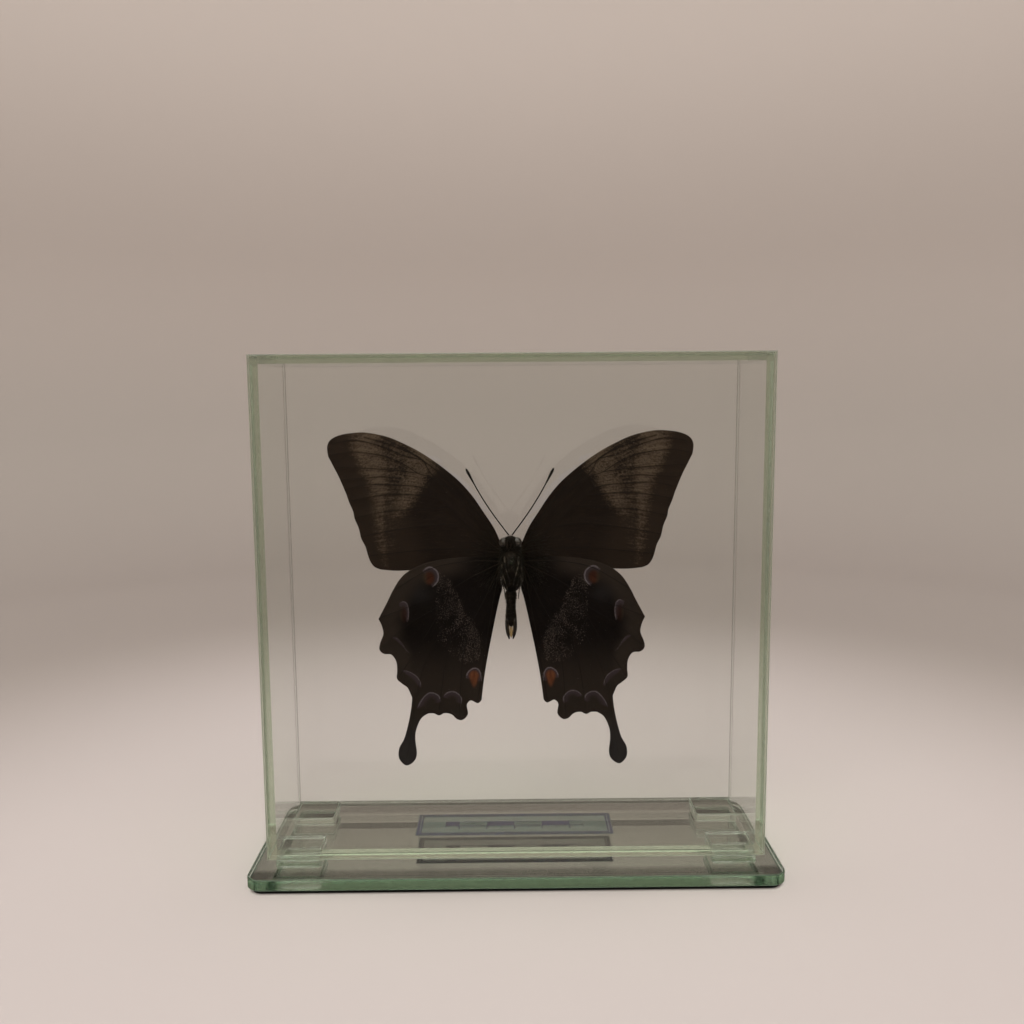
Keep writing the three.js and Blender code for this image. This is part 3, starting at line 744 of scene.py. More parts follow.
def hair_coat(name, dark, pale):
    """Hairs from dark to pale, each lighter towards its tip."""
    material, g, shader = new_material(name)
    shade = g.add(g.times(g.mark("strand_tone"), 0.75), g.times(g.mark("along"), 0.35))
    g.feed_all(shader, {
        "Roughness": 0.6,
        "Specular IOR Level": 0.12,
        "Base Color": g.blend(g.step(shade, 0.15, 1.0), dark, pale),
    })
    return material


def limb_chitin(name, dark, pale, dusting=tone(70, 63, 55)):
    """Dark chitin with a patchy dusting of pale scales."""
    material, g, shader = new_material(name)
    place = g.place()
    scales = g.place_effect(WING_SCALES, {"Place": place, "Size": 0.00014, "Wear": 0.46})
    colour = g.blend(g.noise(place, 1200.0, 3.0), dark, pale)
    patches = g.step(g.noise(place, 520.0, 3.0), 0.44, 0.6)
    colour = g.blend(g.times(g.step(scales["Worn"], 0.0, 0.6, 0.35, 1.0), patches), colour, dusting)
    g.feed_all(shader, {
        "Specular IOR Level": 0.15,
        "Base Color": colour,
        "Roughness": g.step(scales["Grain"], 0.0, 1.0, 0.5, 0.75),
        "Normal": g.bump(scales["Height"], 0.3, 0.00006),
    })
    return material


# ---- Meshes ---------------------------------------------------------------------------------------

class Form:
    """Points in millimetres, faces, and what each point and face carries."""

    def __init__(self, points, faces, finish=0, **marks):
        self.points = np.array(points, float)
        self.faces = [tuple(face) for face in faces]
        self.finishes = [finish] * len(self.faces)
        self.marks = {name: np.array(values, float) for name, values in marks.items()}
        self.ground = []            # how frosted each face of a glass form is

    def moved(self, offset):
        self.points = self.points + np.array(offset)
        return self


def joined(forms):
    """One form made of several."""
    whole = Form(np.vstack([form.points for form in forms]), [])
    start = 0
    for form in forms:
        whole.faces += [tuple(start + i for i in face) for face in form.faces]
        whole.finishes += form.finishes
        start += len(form.points)
    samples = {name: values for form in forms for name, values in form.marks.items()}
    for name, sample in samples.items():
        blanks = [np.zeros((len(form.points), *sample.shape[1:])) for form in forms]
        values = [form.marks.get(name, blank) for form, blank in zip(forms, blanks)]
        whole.marks[name] = np.concatenate(values)
    return whole


def add_marks(mesh, marks):
    for name, values in marks.items():
        if values.ndim == 1:
            mesh.attributes.new(name, "FLOAT", "POINT").data.foreach_set("value", values)
        else:
            mesh.attributes.new(name, "FLOAT_VECTOR", "POINT").data.foreach_set("vector", values.ravel())


def round_off(mesh, rounded=True):
    """Smooth shading over the whole mesh, or flat."""
    mesh.polygons.foreach_set("use_smooth", [rounded] * len(mesh.polygons))


def add_object(name, data):
    made = bpy.data.objects.new(name, data)
    bpy.context.scene.collection.objects.link(made)
    return made


def build(name, form, finishes, rounded=True):
    """A finished object in metres, with merged doubles and its faces pointing out."""
    mesh = bpy.data.meshes.new(name)
    mesh.from_pydata((form.points * MM).tolist(), [], form.faces)
    mesh.polygons.foreach_set("material_index", form.finishes)
    add_marks(mesh, form.marks)
    if form.ground:
        mesh.attributes.new("ground", "FLOAT", "FACE").data.foreach_set("value", form.ground)
    work = bmesh.new()
    work.from_mesh(mesh)
    bmesh.ops.remove_doubles(work, verts=work.verts, dist=1e-7)
    bmesh.ops.recalc_face_normals(work, faces=work.faces)
    work.to_mesh(mesh)
    work.free()
    for finish in finishes:
        mesh.materials.append(finish)
    round_off(mesh, rounded)
    return add_object(name, mesh)


def keep(made, slot, *nodes):
    """The piece belongs to the object and stands for the nodes, which are hidden. The slot is not used."""
    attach(made, "root")
    if nodes:
        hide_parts(*nodes)


def swept(centres, radii, sides, flattening=1.0, finish=0, across=(1.0, 0.0, 0.0)):
    """Closed tube: rings stand square to the path, and both ends close in a point."""
    centres = np.array(centres, float)
    tangents = np.gradient(centres, axis=0)
    tangents /= np.linalg.norm(tangents, axis=1)[:, None]
    side = np.array(across, float)
    turn = np.arange(sides) / sides * 2 * math.pi
    rings = []
    for centre, tangent, radius in zip(centres, tangents, radii):
        side = side - (side @ tangent) * tangent
        side /= np.linalg.norm(side)
        up = np.cross(tangent, side)
        wide, deep = np.cos(turn)[:, None] * side, np.sin(turn)[:, None] * up * flattening
        rings.append(centre + radius * (wide + deep))
    points = np.vstack([*rings, centres[:1], centres[-1:]])
    faces = []
    last = (len(centres) - 1) * sides
    first_tip, last_tip = last + sides, last + sides + 1
    for i in range(sides):
        j = (i + 1) % sides
        for ring in range(0, last, sides):
            faces.append((ring + i, ring + j, ring + sides + j, ring + sides + i))
        faces += [(first_tip, j, i), (last_tip, last + i, last + j)]
    return Form(points, faces, finish)


def turned(profile, rings, sides, ridge=None, **settings):
    """Solid of the body: an ellipse of the profile's half width at each height."""
    side = smooth(profile, 0.1)
    heights = np.linspace(side[0, 1], side[-1, 1], rings)
    radii = width_at(side, heights)
    if ridge is not None:
        radii = radii + ridge(heights)
    centres = [(0.0, 0.0, h) for h in heights]
    return swept(centres, radii, sides, **settings)


def ball(centre, radii, finish=0, rings=22, sides=30):
    """Ellipsoid of rings, closed in a point at each pole."""
    angles = np.linspace(0.02, math.pi - 0.02, rings)
    heights = [(0.0, 0.0, -math.cos(angle)) for angle in angles]
    form = swept(heights, np.sin(angles), sides, finish=finish)
    form.points = form.points * np.array(radii) + np.array(centre)
    return form


def rounded_rectangle(low, high, corner, inset, steps=12):
    """Corner points of a rectangle in a plane, rounded by corner and drawn in by inset."""
    if corner == 0:
        (x0, y0), (x1, y1) = low + inset, high - inset
        return [(x1, y1), (x0, y1), (x0, y0), (x1, y0)]
    (x0, y0), (x1, y1) = low + corner, high - corner
    points = []
    for quarter, centre in enumerate(((x1, y1), (x0, y1), (x0, y0), (x1, y0))):
        for turn in (quarter + np.linspace(0, 1, steps + 1)) * math.pi / 2:
            points.append(np.array(centre) + (corner - inset) * np.array((math.cos(turn), math.sin(turn))))
    return points


def slab(low, high, axis, arrises=(0.0, 0.0), corner=0.0, frosting=0.0):
    """Glass plate square to an axis. Its arrises are ground, and its edges are as frosted as given."""
    plane = [other for other in range(3) if other != axis]
    levels = [(arrises[0], low[axis])]
    if arrises[0]:
        levels.append((0.0, low[axis] + arrises[0]))
    if arrises[1]:
        levels.append((0.0, high[axis] - arrises[1]))
    levels.append((arrises[1], high[axis]))
    points = []
    for inset, level in levels:
        for flat in rounded_rectangle(low[plane], high[plane], corner, inset):
            point = np.empty(3)
            point[plane], point[axis] = flat, level
            points.append(point)
    count = len(points) // len(levels)
    form = Form(points, [range(count), range(len(points) - count, len(points))])
    form.ground = [0.0, 0.0]
    for ring, (inset, _) in enumerate(levels[:-1]):
        start = ring * count
        for i in range(count):
            j = (i + 1) % count
            form.faces.append((start + i, start + j, start + count + j, start + count + i))
            form.ground.append(frosting if inset == levels[ring + 1][0] else 1.0)
    form.finishes = [0] * len(form.faces)
    return form


def in_joints(low, high, glued):
    """Corners of a pane whose named sides reach into their glued joints."""
    low, high = np.array(low, float), np.array(high, float)
    for axis, letter in enumerate("xyz"):
        if letter in glued:
            low[axis] -= WET
            high[axis] += WET
    return low, high


# ---- Wings ----------------------------------------------------------------------------------------

def filled(outline):
    """Points and triangles that fill an outline, about evenly spaced, and the points of its rim."""
    rim = np.vstack([smooth(stretch, WING_SPACING)[:-1] for stretch in outline])
    low, high = rim.min(0), rim.max(0)
    row_height = WING_SPACING * math.sqrt(3) / 2
    rows = []
    for i, y in enumerate(np.arange(low[1], high[1], row_height)):
        x = np.arange(low[0] + (i % 2) * WING_SPACING / 2, high[0], WING_SPACING)
        rows.append(np.column_stack([x, np.full(len(x), y)]))
    grid = np.vstack(rows)
    grid = grid[inside(grid, rim)]
    grid = grid[depth_inside(grid, rim) > WING_SPACING * 0.45]
    points = np.vstack([rim, grid])
    border = [(i, (i + 1) % len(rim)) for i in range(len(rim))]
    found = delaunay_2d_cdt([Vector(p) for p in points], border, [], 0, 1e-7, False)
    points, triangles = np.array([tuple(p) for p in found[0]]), np.array(found[2])
    within = inside(points[triangles].mean(axis=1), rim)
    return points, triangles[within].tolist(), rim


def eyespot_marks(points):
    """Coloured centres, their warmth, the pale arcs, and the haze that fades inwards from each arc."""
    core, warmth, arc, haze, beige = (np.zeros(len(points)) for _ in range(5))
    for spot in EYESPOTS:
        course = smooth(spot["arc"], 0.3)
        away = distance_to(points, course)
        to_end = np.minimum(*(np.linalg.norm(points - course[end], axis=1) for end in (0, -1)))
        taper = spot["bright"] * (0.45 + 0.55 * ease(to_end, 0.0, 1.6))
        arc = np.maximum(arc, np.exp(-((away / ARC_WIDTH) ** 2)) * taper)
        haze = np.maximum(haze, inside(points, course) * (1 - ease(away, 0.2, HAZE_DEPTH)))
        if "centre" not in spot:
            continue
        scaled = (points - np.array(spot["centre"])) / np.array(spot["size"])
        drawn = np.where(scaled[:, 1] < 0, scaled[:, 1] / spot["drop"], scaled[:, 1])
        narrowed = scaled[:, 0] * (1 + 0.35 * (spot["drop"] - 1) * np.clip(-scaled[:, 1], 0, 2))
        inner = spot["strength"] * ease(np.hypot(narrowed, drawn), 1.0, 0.45)
        warmth = np.where(inner > core, spot["warmth"], warmth)
        beige = np.where(inner > core, ease(scaled[:, 0], 0.0, 0.8) * (spot["drop"] == 1), beige)
        core = np.maximum(core, inner)
    return {"core": core, "warmth": warmth, "arc": arc, "haze": haze, "beige": beige}


def forewing_marks(points):
    """Pale band, whose stream towards the root fades downwards, the paler outer part, and the blue field."""
    inner, outer = smooth(BAND_INNER, 1.0), smooth(BAND_OUTER, 1.0)
    band = np.vstack([inner, outer, BAND_CLOSING])
    from_inner, from_outer = distance_to(points, inner), distance_to(points, outer)
    across = from_inner / (from_inner + from_outer + 1e-6)
    upper = ease(points[:, 1], 6.0, 20.0)
    marginal = ease(across, 0.44, 0.76) * (0.7 + 0.3 * upper)
    rootward = (1 - ease(across, 0.26, 0.58)) * upper * 0.95
    between = 0.14 + 0.34 * upper
    streams = np.maximum(np.maximum(marginal, rootward), between)
    return {
        "pale": ease(depth_inside(points, band), -2.0, 3.2) * streams,
        "outer": ease(points[:, 0] + 0.35 * (20 - points[:, 1]), 33.0, 42.0),
        "blue": depth_inside(points, smooth(closed(FOREWING_BLUE), 1.5)[:-1]),
        "spots": np.zeros(len(points)),
    }


def hindwing_marks(points, rim):
    """Sprinkled band, eyespots, cool patches, the paler margin with a painted reflection that lightens the
    lower half, and the blue field and spots.
    """
    inner, outer = smooth(SPRINKLED_INNER, 1.0), smooth(SPRINKLED_OUTER, 1.0)
    sprinkled = ease(depth_inside(points, np.vstack([inner, outer])), -0.9, 1.0)
    brightest = 1 - ease(distance_to(points, inner), 0.5, 6.5)
    cool_patch = np.exp(-((((points - COOL_PATCH["centre"]) / COOL_PATCH["size"]) ** 2).sum(axis=1)))
    tail = ease(-points[:, 1], 54.0, 66.0)
    to_rim = distance_to(points, closed(rim))
    margin = (1 - ease(to_rim, 3.0, 9.0)) * ease(points[:, 0] + 0.3 * points[:, 1], 9.0, 20.0)
    away = [np.linalg.norm((points - spot) / MARGIN_SPOT_SIZE, axis=1) for spot in MARGIN_SPOTS]
    return {
        "pale": sprinkled * (0.32 + 0.68 * brightest),
        **eyespot_marks(points),
        "cool": np.maximum(cool_patch * 0.45, tail),
        # The outer mark is the paler margin and, from 27 mm below the root downwards, a painted reflection
        # that lightens the lower half of the wing.
        "outer": np.maximum(margin, ease(-points[:, 1], 27.0, 46.0) * 0.9),
        "blue": depth_inside(points, smooth(closed(HINDWING_BLUE), 1.5)[:-1]),
        "spots": 1 - ease(np.min(away, axis=0), 0.3, 1.0),
    }


def wing_marks(kind, points, rim, veins):
    """What the wing's materials read at each point, in millimetres or from 0 to 1."""
    vein = np.min([distance_to(points, line) for line in veins], axis=0)
    outwards = points - VEINS_MEET[kind]
    around = np.arctan2(outwards[:, 1], outwards[:, 0]) * RADIAN_LENGTH
    length = np.linalg.norm(outwards, axis=1)
    marks = {"vein": vein, "from_root": np.column_stack([vein, length, around])}
    marks["fur"] = 1 - ease(length, 3.5, 11.0)
    marks.update(forewing_marks(points) if kind == "forewing" else hindwing_marks(points, rim))
    return marks


def wing_relief(kind, points, vein, length):
    """How far the wing's middle plane waves: cells sink between the veins, and the tail bends a little."""
    sink = 0.22 * (1 - np.exp(-vein / 2.4)) * ease(length, 2.0, 14.0)
    x, h = points[:, 0], points[:, 1]
    wave = 0.16 * np.sin(x * 0.21 + 1.3 * (kind == "forewing")) * np.cos(h * 0.17) * ease(length, 6.0, 22.0)
    return sink + wave


def to_place(points, relief, side, root_y):
    """From a wing's own plane to millimetres in the frame."""
    cos, sin = math.cos(WING_SWEEP), math.sin(WING_SWEEP)
    x = points[:, 0] * cos - relief * sin
    y = points[:, 0] * sin + relief * cos
    return np.column_stack([SPECIMEN_X + side * x, root_y + y, SPECIMEN_H + points[:, 1]])


def wing_forms(kind, outline, vein_lines, root_y):
    """The left and right wing as closed sheets, and their veins as lines of points with a radius."""
    points, triangles, rim = filled(outline)
    veins = [smooth(line, 0.8) for line in vein_lines]
    marks = wing_marks(kind, points, rim, veins)
    relief = wing_relief(kind, points, marks["vein"], marks["from_root"][:, 1])
    count = len(points)
    upper = [(a + count, b + count, c + count) for a, b, c in triangles]
    around = [(i, (i + 1) % len(rim)) for i in range(len(rim))]
    rim_faces = [(i, j, count + j, count + i) for i, j in around]
    forms, lines = [], []
    for side in (-1, 1):
        below = to_place(points, relief - WING_THICKNESS / 2, side, root_y)
        above = to_place(points, relief + WING_THICKNESS / 2, side, root_y)
        whole = Form(np.vstack([below, above]), [*triangles, *upper, *rim_faces])
        whole.finishes = [0] * len(triangles) + [1] * len(upper) + [0] * len(rim_faces)
        whole.marks = {name: np.concatenate([values, values]) for name, values in marks.items()}
        forms.append(whole)
        for vein in veins:
            away = np.linalg.norm(vein - vein[0], axis=1) + np.linalg.norm(vein[0] - points[0])
            nearest = [np.argmin(np.linalg.norm(points - p, axis=1)) for p in vein]
            radii = np.interp(away, *VEIN_THINNING)
            lines.append((to_place(vein, relief[nearest], side, root_y), radii))
    return forms, lines


# ---- Geometry node trees --------------------------------------------------------------------------

def new_modifier_tree(name, sizes):
    """A geometry tree with a mesh in, named sizes, and a mesh out."""
    return new_group(name, "GeometryNodeTree", {"Geometry": ("mesh", None), **sizes}, {"Geometry": "mesh"})


def close_tree(g, out, geometry, material):
    """The tree's end: real geometry with its material."""
    real = g.node("GeometryNodeRealizeInstances", {"Geometry": geometry})
    painted = g.node("GeometryNodeSetMaterial", {"Geometry": real.outputs[0], "Material": material})
    g.feed(out["Geometry"], painted.outputs[0])


def single_hair(g):
    """A tapered hair of unit height, slightly curved, with the way along it marked."""
    strand = g.node("GeometryNodeMeshCone", {"Vertices": 3, "Side Segments": 4, "Radius Top": 0.12,
                                             "Radius Bottom": 1.0, "Depth": 1.0})
    position = g.node("GeometryNodeInputPosition").outputs[0]
    along = g.node("ShaderNodeSeparateXYZ", {0: position}).outputs["Z"]
    curl = g.node("ShaderNodeCombineXYZ", {"X": g.times(g.times(along, along), 6.0)}).outputs[0]
    bent = g.node("GeometryNodeSetPosition", {"Geometry": strand.outputs["Mesh"], "Offset": curl}).outputs[0]
    return g.node("GeometryNodeStoreNamedAttribute", {"Geometry": bent, "Name": "along", "Value": along},
                  data_type="FLOAT", domain="POINT").outputs[0]


def fur_tree(material):
    """Hairs on the faces, as dense as the fur mark says and leaning the way of the lie mark."""
    sizes = {DENSITY: ("value", 10.0), "Length": ("value", 1.2), "Thickness": ("value", 0.035),
             "Lean": ("value", 0.6), "Seed": ("count", 3)}
    tree, g, given, out = new_modifier_tree("fur", sizes)
    fur = g.node("GeometryNodeInputNamedAttribute", {"Name": "fur"}, data_type="FLOAT").outputs[0]
    density = g.times(given[DENSITY], 1 / MM**2)
    spread = g.node("GeometryNodeDistributePointsOnFaces",
                    {"Mesh": given["Geometry"], "Density": g.times(density, fur), "Seed": given["Seed"]})
    lie = g.node("GeometryNodeInputNamedAttribute", {"Name": "lie"}, data_type="FLOAT_VECTOR").outputs[0]

    def random(kind, sockets, low, high, seed):
        limits = {sockets[0]: low, sockets[1]: high, "Seed": g.add(given["Seed"], seed)}
        return g.node("FunctionNodeRandomValue", limits, data_type=kind)

    straying = 0.32
    stray = random("FLOAT_VECTOR", (0, 1), (-straying,) * 3, (straying,) * 3, 1).outputs[0]
    upright = g.vector_times(spread.outputs["Normal"], g.minus(1.0, given["Lean"]))
    heading = g.vector_total(upright, g.vector_times(lie, given["Lean"]))
    heading = g.vector_total(heading, stray)
    turn = g.node("FunctionNodeAlignRotationToVector", {"Vector": heading}, axis="Z").outputs[0]

    tall = g.times(g.times(given["Length"], MM), random("FLOAT", (2, 3), 0.45, 1.25, 2).outputs[1])
    thick = g.times(given["Thickness"], MM)
    size = g.node("ShaderNodeCombineXYZ", {"X": thick, "Y": thick, "Z": tall}).outputs[0]
    hairs = g.node("GeometryNodeInstanceOnPoints",
                   {"Points": spread.outputs["Points"], "Instance": single_hair(g), "Rotation": turn,
                    "Scale": size})
    shade = random("FLOAT", (2, 3), 0.0, 1.0, 4).outputs[1]
    toned = g.node("GeometryNodeStoreNamedAttribute",
                   {"Geometry": hairs.outputs[0], "Name": "strand_tone", "Value": shade},
                   data_type="FLOAT", domain="INSTANCE")
    close_tree(g, out, toned.outputs[0], material)
    return tree


def rod_tree(material):
    """A round rod along each line of edges, as thick as its reach mark."""
    tree, g, given, out = new_modifier_tree("rods", {"Sides": ("count", 8)})
    lines = g.node("GeometryNodeMeshToCurve", {"Mesh": given["Geometry"]})
    reach = g.node("GeometryNodeInputNamedAttribute", {"Name": "reach"}, data_type="FLOAT").outputs[0]
    section = g.node("GeometryNodeCurvePrimitiveCircle", {"Resolution": given["Sides"], "Radius": 1.0})
    rods = g.node("GeometryNodeCurveToMesh",
                  {"Curve": lines.outputs[0], "Profile Curve": section.outputs[0], "Scale": reach,
                   "Fill Caps": True})
    close_tree(g, out, rods.outputs[0], material)
    return tree


def grown(name, carrier, tree, sizes):
    """The plain mesh that a geometry tree makes on a carrier, which is then thrown away."""
    modifier = carrier.modifiers.new("growth", "NODES")
    modifier.node_group = tree
    named = {item.name: item.identifier for item in tree.interface.items_tree if item.in_out == "INPUT"}
    for size, value in sizes.items():
        modifier[named[size]] = value
    bpy.context.view_layer.update()
    evaluated = carrier.evaluated_get(bpy.context.evaluated_depsgraph_get())
    mesh = bpy.data.meshes.new_from_object(evaluated)
    carrier.modifiers.remove(modifier)
    mesh.name = name
    round_off(mesh)
    bpy.data.objects.remove(carrier)
    return add_object(name, mesh)


# ---- Making the butterfly -------------------------------------------------------------------------

def make_wings():
    """Four wings and their veins. It returns the wings' roots, which carry hairs."""
    upper = upper_side()
    lines, roots = [], []
    for kind, outline, veins, underside in (
        ("forewing", FOREWING_OUTLINE, FOREWING_VEINS, forewing_underside()),
        ("hindwing", HINDWING_OUTLINE, HINDWING_VEINS, hindwing_underside()),
    ):
        root_y = near_root_y(f"{kind}_right")
        forms, found = wing_forms(kind, outline, veins, root_y)
        lines += found
        for side, form in zip(("left", "right"), forms):
            keep(build(f"{kind}_{side}_scaled", form, [underside, upper]), "wing", f"{kind}_{side}")
            roots.append(root_part(form))
    make_veins(lines)
    return joined(roots)


def make_veins(lines):
    """Round veins along all the wings' lines."""
    mesh = bpy.data.meshes.new("vein_lines")
    points, edges, reach = [], [], []
    for places, radii in lines:
        edges += [(len(points) + i, len(points) + i + 1) for i in range(len(places) - 1)]
        points += (places * MM).tolist()
        reach += (radii * MM).tolist()
    mesh.from_pydata(points, edges, [])
    add_marks(mesh, {"reach": np.array(reach)})
    carrier = add_object("vein_lines", mesh)
    keep(grown("wing_veins", carrier, rod_tree(vein_chitin()), {}), "wing")


def chest_y(x, h):
    """Depth of the chest's surface at a place on its front side."""
    half = width_at(smooth(THORAX_PROFILE, 0.1), h)
    across = min(abs(x) / half, 0.94)
    return BODY_Y - half * BODY_FLATTENING * math.sqrt(1 - across * across)


def specimen(form, x=0.0, y=0.0):
    """Moves a form from the butterfly's own origin to its place in the case."""
    return form.moved((SPECIMEN_X + x, y, SPECIMEN_H))


def collar_form():
    """Swelling between the chest and the head, which carries the collar's hairs."""
    return ball((HEAD_X / 2, 0, COLLAR["h"]), COLLAR["radii"])


def along_segment(heights):
    """Share of the way down each segment of the abdomen."""
    return ((ABDOMEN_PROFILE[0][1] - heights) / SEGMENT_LENGTH) % 1.0


def thorax_form():
    """Chest with low lumps where its muscles are, and a paler pattern, under the collar."""
    thorax = turned(THORAX_PROFILE, 60, 56, flattening=BODY_FLATTENING)
    around = np.arctan2(thorax.points[:, 1], thorax.points[:, 0])
    h = thorax.points[:, 2]
    lumps = 1 + 0.035 * np.cos(around * 6) * np.sin(h * 1.5) + 0.02 * np.sin(around * 3 + h)
    thorax.points[:, :2] *= lumps[:, None]
    thorax.marks["pale"] = ease(np.sin(h * 1.25 + np.abs(thorax.points[:, 0]) * 1.4), 0.55, 1.0) * 0.6
    return specimen(joined([thorax, collar_form()]), y=BODY_Y)


def clasper_forms():
    """Two valves, and the pale lining between them."""
    parts = []
    path = smooth(CLASPER_PATH, 0.15)
    shares = np.linspace(0, 1, len(CLASPER_RADII))
    radii = np.interp(np.linspace(0, 1, len(path)), shares, CLASPER_RADII)
    for side in (-1, 1):
        valve = swept([(side * x, 0.0, h) for x, h in path], radii, 20, flattening=2.4, finish=1)
        centre = width_at(path, valve.points[:, 2])
        valve.marks["pale"] = ease((centre - side * valve.points[:, 0]) / 0.45, 1.0, 1.4)
        parts.append(valve)
    lining = turned(LINING_PROFILE, 40, 30, flattening=1.5, finish=1)
    lining.marks["pale"] = ease(-lining.points[:, 2], 23.8, 24.8)
    return [*parts, lining]


def abdomen_form():
    """Ringed trunk with a pale line along each side, and the claspers at its end."""
    def segments(heights):
        phase = along_segment(heights)
        return SEGMENT_RIDGE * (ease(phase, 0.0, 0.75) - 2.2 * ease(phase, 0.82, 1.0))

    trunk = turned(ABDOMEN_PROFILE, 150, 44, segments, flattening=BODY_FLATTENING)
    segment_edge = ease(along_segment(trunk.points[:, 2]), 0.7, 0.9) * 0.5
    from_side_line = np.abs(np.abs(trunk.points[:, 0]) / 2.0 - 0.8)
    trunk.marks["pale"] = np.maximum(segment_edge, (1 - ease(from_side_line, 0.04, 0.16)) * 0.7)
    return specimen(joined([trunk, *clasper_forms()]), ABDOMEN_X, BODY_Y)


def make_body():
    """Thorax and abdomen under one kind of skin."""
    skin = body_skin()
    keep(build("thorax_skin", thorax_form(), [skin]), "body", "thorax")
    keep(build("abdomen_skin", abdomen_form(), [skin, clasper_skin()]), "body", "abdomen")


def make_head():
    """Skull, faceted eyes, and the two palps beside the tongue."""
    skull = ball((0, 0, 0), (HEAD["half_width"], HEAD["half_depth"], HEAD["half_height"]))
    parts = [skull]
    for side in (-1, 1):
        eye = ball((side * EYE["out"], 0, 0), (EYE["radius"],) * 3, finish=1, rings=30, sides=40)
        outwards = side * eye.points[:, 0] - EYE["out"]
        low_front = 0.35 * outwards - eye.points[:, 2] - 0.6 * eye.points[:, 1]
        eye.marks["pale"] = ease(low_front, 0.9, 1.9)
        path = smooth([(side * x, y, h) for x, y, h in PALP["path"]], 0.12)
        radii = np.interp(np.linspace(0, 1, len(path)), *PALP["radii"])
        palp = swept(path + np.array((side * PALP["out"], 0, 0)), radii, 18)
        palp.marks["pale"] = ease(np.abs(palp.points[:, 0]), 0.75, 1.15) * 0.9
        parts += [eye, palp]
    form = specimen(joined(parts), HEAD_X, BODY_Y).moved((0, 0, HEAD["h"]))
    keep(build("head_skin", form, [body_skin(), compound_eye()]), "body", "head")


def make_tongue():
    """Coil that narrows inwards, held between the palps."""
    turns = np.linspace(0, TONGUE["turns"] * 2 * math.pi, 130)
    reach = np.linspace(*TONGUE["reach"], len(turns))
    coil_y = TONGUE["y"] + reach * np.cos(turns)
    coil_h = TONGUE["h"] + reach * np.sin(turns)
    coil = np.column_stack([np.zeros(len(turns)), coil_y, coil_h])
    tongue = swept(coil, np.linspace(*TONGUE["radii"], len(turns)), 8)
    form = specimen(tongue, HEAD_X, BODY_Y).moved((0, 0, HEAD["h"]))
    keep(build("tongue", form, [limb_chitin("tongue_chitin", tone(32, 23, 17), tone(56, 41, 29))]), "limb")


def leg_form(joints, sign):
    """Thigh, shin and foot with its joints, spines and two claws."""
    corners = [(sign * x, chest_y(x, h) - LEG_RADIUS - TOUCH, h) for x, h in joints]
    path = smooth(corners, 0.1)
    count = len(path)
    along = np.linspace(0, 1, count)
    foot_joints = (along > FOOT_START) * 0.03 * np.abs(np.sin(along * math.pi * 15))
    parts = [swept(path, np.interp(along, *LEG_THINNING) + foot_joints, 12)]

    def thorn(start, offsets, away, spacing, radii, sides):
        course = smooth([start, *(start + (away * x, y, h) for x, y, h in offsets)], spacing)
        parts.append(swept(course, np.linspace(*radii, len(course)), sides))

    for i in range(int(count * SHIN_START), count - 4, 5):
        thorn(path[i], LEG_SPINE, 1 if (i // 5) % 2 else -1, 0.1, (0.035, 0.008), 4)
    for away in (-1, 1):
        thorn(path[-1], LEG_CLAW, away, 0.06, (0.06, 0.015), 6)
    return joined(parts)


def make_legs():
    """Six legs, folded against the chest."""
    chitin = limb_chitin("leg_chitin", tone(20, 16, 13), tone(38, 32, 27), tone(92, 84, 74))
    for name, sign in (("left", -1), ("right", 1)):
        for place, joints in LEGS.items():
            form = specimen(leg_form(joints, sign))
            keep(build(f"{place}_leg_{name}", form, [chitin]), "limb", f"leg_{place}_{name}")


def make_antennae():
    """Threads of short rings that thicken into a club."""
    chitin = limb_chitin("antenna_chitin", tone(14, 12, 10), tone(26, 22, 18), tone(34, 29, 24))
    length, radius = ANTENNA["length"], ANTENNA["radius"]
    club_start = length - ANTENNA_CLUB["length"]
    places = (0, 0.6, 1.2, club_start - 2, length - 1.4, length - 0.3, length)
    thicknesses = (0.26, 0.24, radius, radius, ANTENNA_CLUB["radius"], 0.3, 0.08)
    for name, sign in (("left", -1), ("right", 1)):
        along = np.linspace(0, length, ANTENNA_RINGS * 4)
        radii = np.interp(along, places, thicknesses)
        radii = radii * (1 + 0.1 * np.sin(along / length * ANTENNA_RINGS * 2 * math.pi))
        bow = sign * ANTENNA["bow"] * np.sin(math.pi * along / length)
        cos, sin = math.cos(ANTENNA["lean"]), math.sin(ANTENNA["lean"])
        x, h = bow * cos + sign * along * sin, along * cos - sign * bow * sin
        path = np.column_stack([x, np.zeros(len(along)), h])
        form = swept(path, radii, 10, across=(0.0, 1.0, 0.0))
        form.moved((sign * ANTENNA["out"], 0, ANTENNA["h"]))
        keep(build(f"{name}_antenna", specimen(form, HEAD_X, BODY_Y), [chitin]), "limb", f"antenna_{name}")


def lie_of(points, sideways):
    """Hairs point down the body and a little outwards."""
    lie = np.zeros((len(points), 3))
    lie[:, 0] = np.sign(points[:, 0]) * sideways
    lie[:, 2] = -1.0
    return lie / np.linalg.norm(lie, axis=1)[:, None]


